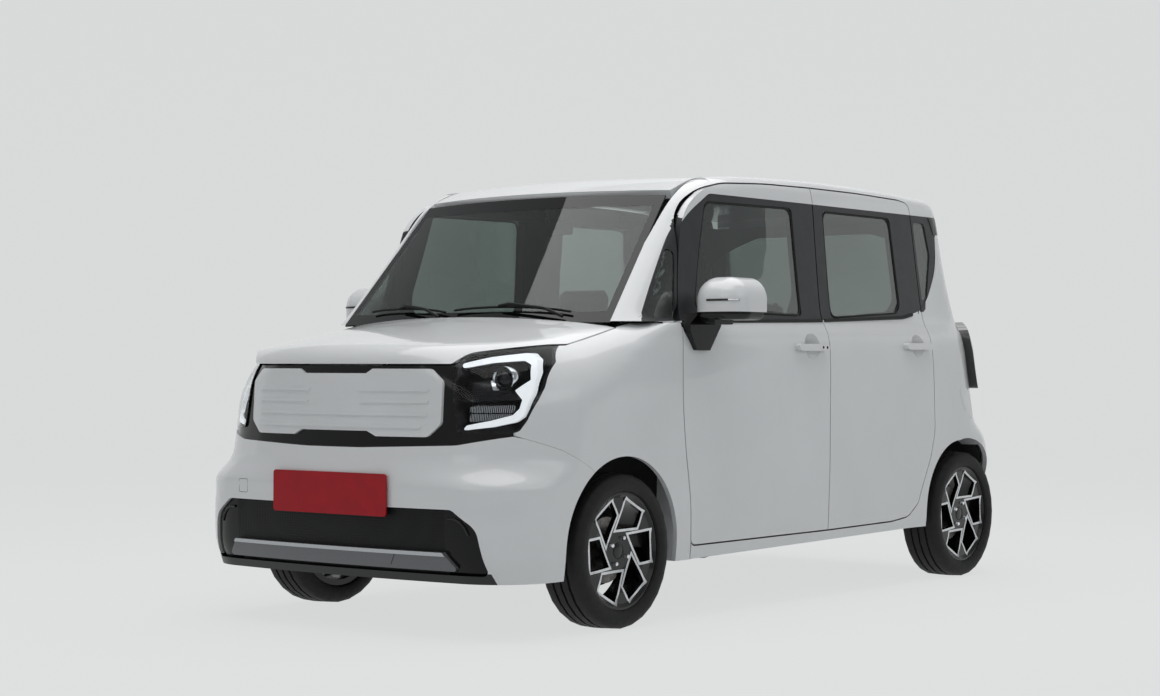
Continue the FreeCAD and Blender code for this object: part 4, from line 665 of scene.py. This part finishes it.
def roundedLoop(outline, radius, steps=4):
    loop = []
    for i, corner in enumerate(outline):
        here, before = Vector(corner), Vector(outline[i - 1])
        after = Vector(outline[(i + 1) % len(outline)])
        start = here + (before - here).normalized() * radius
        end = here + (after - here).normalized() * radius
        for step in range(steps + 1):
            t = step / steps
            loop.append(start * (1 - t) ** 2 + here * 2 * t * (1 - t) + end * t * t)
    filled = []
    for a, b in zip(loop, loop[1:] + loop[:1]):
        count = max(1, int((b - a).length / 0.08))
        filled += [a + (b - a) * k / count for k in range(count)]
    return filled


# rubber seals round the side windows, 9 mm wide
sealValues = {"radius": 0.0048, "corner": 0.045, "panes": {
    "front_door_glass": ("front_door", [(0.622, 1.146), (0.497, 1.556), (-0.091, 1.563), (-0.110, 1.135)]),
    "rear_door_glass": ("rear_door", [(-0.335, 1.131), (-0.329, 1.564), (-0.867, 1.564), (-0.909, 1.161)])}}
for pane, (body, outline) in sealValues["panes"].items():
    for side, word in ((1, "_left"), (-1, "_right")):
        points = []
        for x, z in roundedLoop(outline, sealValues["corner"]):
            place, normal = castPoint(pane + word, (x, beside * side, z), (0, -side, 0))
            if place:
                points.append(place)
        piece = rod(points, sealValues["radius"], closed=True)
        settle(piece, "windowSeal_" + pane + word, body + word, "rubber", 60)
print("seals made")

# mirror slot with its bright end, and the two dots at the end of the front handle
detailValues = {"slotHeight": 1.176, "slotFrom": 0.872, "slotTo": 0.990, "slotRadius": 0.0042,
                "endRadius": 0.0034, "endOut": 0.0022, "dots": (-0.166, -0.196), "dotHeight": 1.009}
for side, word in ((1, "_left"), (-1, "_right")):
    points = []
    for step in range(9):
        y = detailValues["slotFrom"] + (detailValues["slotTo"] - detailValues["slotFrom"]) * step / 8
        start = (1.5, y * side, detailValues["slotHeight"])
        place, normal = castPoint("door_mirror" + word, start, (-1, 0, 0))
        if place:
            points.append(place)
    slot = rod(points, detailValues["slotRadius"])
    settle(slot, "mirrorSlot" + word, "front_door" + word, "glossBlack", 60)
    ending = rod([place + Vector((detailValues["endOut"], 0, 0)) for place in points[-3:]],
                 detailValues["endRadius"])
    settle(ending, "mirrorSlotEnd" + word, "front_door" + word, "chrome", 60)
    for number, x in enumerate(detailValues["dots"]):
        start = (x, beside * side, detailValues["dotHeight"])
        place, normal = castPoint("front_door" + word, start, (0, -side, 0))
        bpy.ops.object.select_all(action="DESELECT")
        bpy.ops.mesh.primitive_cylinder_add(vertices=20, radius=0.0058, depth=0.003)
        piece = bpy.context.object
        addModifier(piece, "BEVEL", {"width": 0.0008, "segments": 2})
        applyAll(piece)
        piece.data.transform(Matrix.Translation(place) @ Matrix.Rotation(math.radians(90), 4, "X"))
        settle(piece, "handleDot%d" % number + word, "front_door" + word, "glossBlack")
print("mirror and handle details made")

# black belt moulding along the foot of the side glass
beltValues = {"line": [(0.952, 1.090), (0.745, 1.098), (-0.235, 1.117), (-0.920, 1.142), (-1.085, 1.170)],
              "radius": 0.0075, "steps": 24,
              "runs": (("front_fenders", "root", 0.950, 0.752, 0),
                       ("front_door", "front_door", 0.733, -0.246, 1),
                       ("rear_door", "rear_door", -0.264, -1.000, 1))}


def lineHeight(line, x):
    for (x1, z1), (x2, z2) in zip(line, line[1:]):
        if x >= x2:
            return z1 + (z2 - z1) * (x - x1) / (x2 - x1)
    return line[-1][1]


for node, body, start, end, paired in beltValues["runs"]:
    for side, word in ((1, "_left"), (-1, "_right")):
        points = []
        for step in range(beltValues["steps"] + 1):
            x = start + (end - start) * step / beltValues["steps"]
            spot = (x, beside * side, lineHeight(beltValues["line"], x))
            place, normal = castPoint(node + word * paired, spot, (0, -side, 0))
            if place:
                points.append(place)
        if len(points) > 2:
            moulding = rod(points, beltValues["radius"])
            settle(moulding, "beltMoulding_" + node + word, body + word * paired, "blackPlastic", 60)
print("belt mouldings made")


# black corner garnish behind the last side window
def surfacePatch(names, corners, columns, rows, out, side):
    bpy.ops.object.select_all(action="DESELECT")
    bpy.ops.mesh.primitive_grid_add(x_subdivisions=columns, y_subdivisions=rows, size=1)
    piece = bpy.context.object
    a, b, c, d = [Vector(corner) for corner in corners]
    for vertex in piece.data.vertices:
        u, v = vertex.co.x + 0.5, vertex.co.y + 0.5
        x, z = (a * (1 - u) + b * u) * v + (d * (1 - u) + c * u) * (1 - v)
        hits = [castPoint(name, (x, beside * side, z), (0, -side, 0)) for name in names]
        hits = [hit for hit in hits if hit[0]]
        place, normal = max(hits, key=lambda hit: hit[0].y * side)
        vertex.co = place + normal * out
    addModifier(piece, "SOLIDIFY", {"thickness": 0.003, "offset": -1})
    addModifier(piece, "BEVEL", {"width": 0.0008, "segments": 2})
    applyAll(piece)
    return piece


for side, word in ((1, "_left"), (-1, "_right")):
    corners = [(-1.207, 1.588), (-1.298, 1.588), (-1.336, 1.516), (-1.247, 1.512)]
    piece = surfacePatch(("body_side" + word, "roof_panel"), corners, 10, 8, 0.0015, side)
    settle(piece, "cornerGarnish" + word, "root", "glossBlack", 40)
print("garnish made")

# fuel flap in its opening on the left side, shaped like the same place of the whole right side
flapValues = {"outline": [(-1.365, 0.863), (-1.343, 0.823), (-1.386, 0.748), (-1.464, 0.695),
                          (-1.490, 0.730), (-1.440, 0.830)],
              "corner": 0.016, "shrink": 0.955, "ring": 0.007, "rings": 3, "thickness": 0.0015}
flapLoop = roundedLoop(flapValues["outline"], flapValues["corner"])
flapMiddle = sum(flapLoop, Vector((0, 0))) / len(flapLoop)
flapLoop = [flapMiddle + (point - flapMiddle) * flapValues["shrink"] for point in flapLoop]
flap = outlineFace([(x, 0, z) for x, z in flapLoop])
edit(flap)
for _ in range(flapValues["rings"]):
    bpy.ops.mesh.inset(thickness=flapValues["ring"])
bpy.ops.object.mode_set(mode="OBJECT")
for vertex in flap.data.vertices:
    place, normal = castPoint("body_side_right", (vertex.co.x, -beside, vertex.co.z), (0, 1, 0))
    vertex.co.y = -place.y - 0.0003
edit(flap)
bpy.ops.mesh.normals_make_consistent(inside=False)
bpy.ops.object.mode_set(mode="OBJECT")
if sum(face.normal.y for face in flap.data.polygons) < 0:
    flap.data.flip_normals()
addModifier(flap, "SOLIDIFY", {"thickness": flapValues["thickness"], "offset": -1})
applyAll(flap)
settle(flap, "fuelFlap", "root", "whitePaint")
print("fuel flap made")

# brake shields: pressed discs behind the wheels
shieldProfile = [(0.045, -0.030), (0.098, -0.030), (0.103, -0.022), (0.118, -0.022), (0.125, -0.028),
                 (0.127, -0.026), (0.120, -0.0195), (0.101, -0.0195), (0.096, -0.0275), (0.045, -0.0275)]
shield = spunPiece(shieldProfile, 40)
for corner, axle, side in wheelPlaces:
    body = "knuckle_" + corner[6:] if "front" in corner else "root"
    settle(copied(shield, wheelSpot(axle, side)), "brakeShield_" + corner, body, "underseal")
bpy.data.objects.remove(shield)
print("brake shields made")

# lamp insides: a bright bezel round a dark lens
lampValues = {"lens": (1.545, 0.592, 0.887)}
bezelProfile = [(0.0300, -0.020), (0.0325, -0.004), (0.0400, 0.004), (0.0455, 0.005), (0.0470, 0.002),
                (0.0470, -0.022)]
lensProfile = [(0.0002, 0.0125), (0.010, 0.0115), (0.020, 0.0075), (0.027, 0.001), (0.0298, -0.008),
               (0.0298, -0.020), (0.0002, -0.020)]
bezel, lens = spunPiece(bezelProfile, 40), spunPiece(lensProfile, 40)
for side, word in ((1, "_left"), (-1, "_right")):
    x, y, z = lampValues["lens"]
    spot = Matrix.Translation((x, y * side, z)) @ Matrix.Rotation(math.radians(90), 4, "Y")
    settle(copied(bezel, spot), "lampBezel" + word, "root", "chrome")
    settle(copied(lens, spot), "lampLens" + word, "root", "darkLens")
bpy.data.objects.remove(bezel)
bpy.data.objects.remove(lens)
print("lamp insides made")

# small front details: the towing cover's outline and the blades in the wings of the lower opening
towValues = {"outline": [(-0.486, 0.473), (-0.438, 0.473), (-0.438, 0.521), (-0.486, 0.521)],
             "corner": 0.006, "radius": 0.0009, "sunk": 0.0004}
points = []
for y, z in roundedLoop(towValues["outline"], towValues["corner"]):
    place, normal = castPoint("front_bumper", (ahead, y, z), (-1, 0, 0))
    if place:
        points.append(place - normal * towValues["sunk"])
settle(rod(points, towValues["radius"], closed=True), "towCoverSeam", "root", "blackPlastic", 60)
bladeValues = {"line": [(0.520, 0.418), (0.545, 0.417), (0.568, 0.408), (0.588, 0.388), (0.600, 0.362)],
               "out": 0.002, "radius": 0.005}
for side, word in ((1, "_left"), (-1, "_right")):
    points = []
    for y, z in bladeValues["line"]:
        place, normal = castPoint("front_grilles", (ahead, y * side, z), (-1, 0, 0))
        if place:
            points.append(place + normal * bladeValues["out"])
    if len(points) > 1:
        settle(rod(points, bladeValues["radius"]), "wingBlade" + word, "root", "glossBlack", 60)
print("front details made")


# wipers: an arm and a blade along the foot of the windscreen, on each side, and one at the back
def screenPoint(y, z, out):
    x = 1.130 - 0.1 * (y / 0.662) ** 2 - 0.915 * (z - 1.1)
    return Vector((x + out * 0.738, y, z + out * 0.675))


wiperValues = {"blades": ((0.50, -0.02, 1.125, 1.150), (-0.06, -0.50, 1.128, 1.150)), "steps": 10,
               "bladeOut": 0.011, "bladeRadius": 0.0045, "armRadius": 0.0062, "rearFrom": 0.02,
               "rearTo": 0.32, "rearLow": 1.165, "rearHigh": 1.185, "rearAxle": 1.125,
               "rearArmRadius": 0.007}
for number, (start, end, low, high) in enumerate(wiperValues["blades"]):
    line = []
    for step in range(wiperValues["steps"] + 1):
        share = step / wiperValues["steps"]
        rise = math.sin(math.pi * share) ** 0.7 * 0.6 + 0.4 * share
        line.append(screenPoint(start + (end - start) * share, low + (high - low) * rise,
                                wiperValues["bladeOut"]))
    blade = rod(line, wiperValues["bladeRadius"])
    settle(blade, "wiperBlade%d" % number, "root", "blackPlastic", 60)
    arm = [screenPoint(start - 0.02, low - 0.018, 0.012), screenPoint(start - 0.10, low + 0.002, 0.028),
           line[5] + Vector((0.012, 0, 0.011)), line[6] + Vector((0.004, 0, 0.004))]
    settle(rod(arm, wiperValues["armRadius"]), "wiperArm%d" % number, "root", "blackPlastic", 60)
rearLine = []
for step in range(9):
    y = wiperValues["rearFrom"] + (wiperValues["rearTo"] - wiperValues["rearFrom"]) * step / 8
    z = wiperValues["rearLow"] + (wiperValues["rearHigh"] - wiperValues["rearLow"]) * step / 8
    place, normal = castPoint("tailgate_glass", (-ahead, y, z), (1, 0, 0))
    if place:
        rearLine.append(place + Vector((-0.012, 0, 0)))
blade = rod(rearLine, wiperValues["bladeRadius"])
settle(blade, "rearWiperBlade", "tailgate", "blackPlastic", 60)
place, normal = castPoint("tailgate", (-ahead, 0.0, wiperValues["rearAxle"]), (1, 0, 0))
arm = rod([place + Vector((-0.008, 0, 0)), place + Vector((-0.016, 0.01, 0.01)),
           rearLine[0] + Vector((-0.012, 0.03, 0)), rearLine[4] + Vector((-0.004, 0, 0))],
          wiperValues["rearArmRadius"])
settle(arm, "rearWiperArm", "tailgate", "blackPlastic", 60)
print("wipers made")

# tail details cast on from behind: gate handle, high stop lamp and reflectors
tailValues = {"gateHandle": ("tailgate", "tailgate", 0.985, -0.26, 0.26, 0.009, "glossBlack"),
              "stopLamp": ("tailgate", "tailgate", 1.598, -0.13, 0.13, 0.006, "redLens"),
              "reflectorLeft": ("rear_bumper", "root", 0.425, 0.44, 0.56, 0.008, "redLens"),
              "reflectorRight": ("rear_bumper", "root", 0.425, -0.56, -0.44, 0.008, "redLens")}
for name, (node, body, height, start, end, radius, finish) in tailValues.items():
    points = []
    for step in range(11):
        place, normal = castPoint(node, (-ahead, start + (end - start) * step / 10, height), (1, 0, 0))
        if place:
            points.append(place + Vector((radius * 0.6, 0, 0)))
    if len(points) > 1:
        settle(rod(points, radius), name, body, finish, 60)
print("tail details made")

# inner mirror: a bevelled shell on a stem behind the windscreen
innerValues = {"size": (0.028, 0.235, 0.062), "place": (0.565, 0.0, 1.478), "bevel": 0.013,
               "stem": [(0.575, 0, 1.49), (0.60, 0, 1.515), (0.652, 0, 1.53), (0.660, 0, 1.548)],
               "stemRadius": 0.008}
bpy.ops.object.select_all(action="DESELECT")
bpy.ops.mesh.primitive_cube_add(size=1)
piece = bpy.context.object
for vertex in piece.data.vertices:
    vertex.co = vertex.co * Vector(innerValues["size"]) + Vector(innerValues["place"])
addModifier(piece, "BEVEL", {"width": innerValues["bevel"], "segments": 4})
applyAll(piece)
settle(piece, "innerMirror", "root", "cabinPlastic")
stem = rod(innerValues["stem"], innerValues["stemRadius"])
settle(stem, "innerMirrorStem", "root", "cabinPlastic", 60)


# seats: the solids' own shape, drawn in, swollen by cloth pressure and sewn along seams
seatValues = {"inset": 0.012, "cap": 0.011, "frames": 8, "pressure": 4, "seamDepth": 0.006,
              "seamWidth": 0.007}


def makeCushion(node, name, values):
    piece = copied(nodes[node], Matrix.Identity(4))
    for key in list(piece.keys()):
        del piece[key]
    addModifier(piece, "REMESH", {"mode": "VOXEL", "voxel_size": values["voxel"]})
    applyAll(piece)
    edit(piece)
    bpy.ops.transform.shrink_fatten(value=-seatValues["inset"])
    bpy.ops.mesh.vertices_smooth(factor=0.5, repeat=4)
    bpy.ops.object.mode_set(mode="OBJECT")
    start = [vertex.co.copy() for vertex in piece.data.vertices]
    cloth = piece.modifiers.new("swelling", "CLOTH")
    cloth.settings.use_pressure = True
    cloth.settings.uniform_pressure_force = seatValues["pressure"]
    cloth.settings.effector_weights.gravity = 0
    cloth.settings.quality = 3
    for number in range(1, seatValues["frames"] + 1):
        bpy.context.scene.frame_set(number)
    applyAll(piece)
    bpy.context.scene.frame_set(1)
    for vertex, first in zip(piece.data.vertices, start):
        move = vertex.co - first
        if move.length > seatValues["cap"]:
            vertex.co = first + move * (seatValues["cap"] / move.length)
    addModifier(piece, "SUBSURF", {"levels": 1, "render_levels": 1})
    applyAll(piece)
    normals = [vertex.normal.copy() for vertex in piece.data.vertices]
    for vertex, normal in zip(piece.data.vertices, normals):
        nearest = min(abs(abs(vertex.co.y - middle) - half)
                      for middle in values["middles"] for half in values["seams"])
        across = [math.dist((vertex.co.x, vertex.co.z), spot) * 0.7 for spot in values["cross"]]
        nearest = min([nearest] + across)
        vertex.co -= normal * seatValues["seamDepth"] * math.exp(-(nearest / seatValues["seamWidth"]) ** 2)
    settle(piece, name, "root", "seatFabric", 80)
    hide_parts(node)
    return piece


makeCushion("front_seats", "sewnFrontSeats", {
    "voxel": 0.02, "middles": (0.36, -0.36), "seams": (0.15,),
    "cross": ((0.20, 0.552), (-0.075, 0.80), (-0.02, 0.60))})
makeCushion("rear_bench", "sewnRearBench", {
    "voxel": 0.024, "middles": (0.0,), "seams": (0.10, 0.34),
    "cross": ((-0.62, 0.552), (-0.90, 0.80), (-0.84, 0.60))})
print("seats made")

# pale sweep: floor that turns up into a wall behind the car
stageValues = {"width": 120.0, "front": 70.0, "back": -14.0, "wall": 14.0, "bend": 5.0, "glow": 0.85}


def makeStage():
    mesh = bpy.data.meshes.new("sweep")
    form = bmesh.new()
    profile = [(stageValues["front"], 0.0)]
    for step in range(17):
        angle = math.radians(90 * step / 16)
        profile.append((stageValues["back"] - stageValues["bend"] * math.sin(angle),
                        stageValues["bend"] * (1 - math.cos(angle))))
    profile.append((stageValues["back"] - stageValues["bend"], stageValues["wall"]))
    turn = Matrix.Rotation(math.radians(cameraValues["yaw"] - 180), 4, "Z")
    rows = []
    for x, z in profile:
        rows.append([form.verts.new(turn @ Vector((x, side * stageValues["width"] / 2, z)))
                     for side in (-1, 1)])
    for a, b in zip(rows, rows[1:]):
        form.faces.new((a[0], a[1], b[1], b[0]))
    bmesh.ops.recalc_face_normals(form, faces=form.faces[:])
    form.to_mesh(mesh)
    form.free()
    sweep = bpy.data.objects.new("sweep", mesh)
    bpy.context.collection.objects.link(sweep)
    for face in mesh.polygons:
        face.use_smooth = True
    return sweep


sweep = makeStage()
material = bpy.data.materials.new("paleSweep")
material.use_nodes = True
tree = material.node_tree
tree.nodes.clear()
rays = addNode(tree, "ShaderNodeLightPath")
seen = addNode(tree, "ShaderNodeMath", {"operation": "MAXIMUM"},
               {0: (rays, "Is Camera Ray"), 1: (rays, "Is Glossy Ray")})
seenAll = addNode(tree, "ShaderNodeMath", {"operation": "MAXIMUM"},
                  {0: (seen, 0), 1: (rays, "Is Transmission Ray")})
share = addNode(tree, "ShaderNodeMath", {"operation": "MULTIPLY"}, {0: (seenAll, 0)})
share.inputs[1].default_value = stageValues["glow"]
matt = addNode(tree, "ShaderNodeBsdfDiffuse", {"Color": linear("D4D6D6")})
glow = addNode(tree, "ShaderNodeEmission", {"Color": linear("E4E6E6"), "Strength": 1.0})
mixed = addNode(tree, "ShaderNodeMixShader", None, {"Fac": (share, 0)})
tree.links.new(matt.outputs[0], mixed.inputs[1])
tree.links.new(glow.outputs[0], mixed.inputs[2])
addNode(tree, "ShaderNodeOutputMaterial", None, {"Surface": (mixed, 0)})
sweep.data.materials.append(material)

# soft studio light: a large panel overhead, one in front of the nose and one at the side
lightValues = {"over": ((0.0, 0.2, 5.2), (0.0, 0, 0.5), (8.0, 5.0), 205),
               "front": ((8.0, 1.0, 3.6), (1.0, 0, 0.8), (4.0, 2.0), 20),
               "side": ((0.5, 8.0, 4.2), (0, 0, 0.9), (6.0, 2.0), 30)}
for name, (place, target, spread, watts) in lightValues.items():
    panel = bpy.data.lights.new(name, "AREA")
    panel.shape = "RECTANGLE"
    panel.size, panel.size_y = spread
    panel.energy = watts
    lamp = bpy.data.objects.new(name, panel)
    bpy.context.collection.objects.link(lamp)
    lamp.location = place
    lamp.rotation_euler = (Vector(target) - Vector(place)).to_track_quat("-Z", "Y").to_euler()
world = bpy.data.worlds.new("studio")
bpy.context.scene.world = world
world.use_nodes = True
background = world.node_tree.nodes["Background"]
background.inputs["Color"].default_value = linear("E8EAEC")
background.inputs["Strength"].default_value = 0.42
print("stage and lights made")
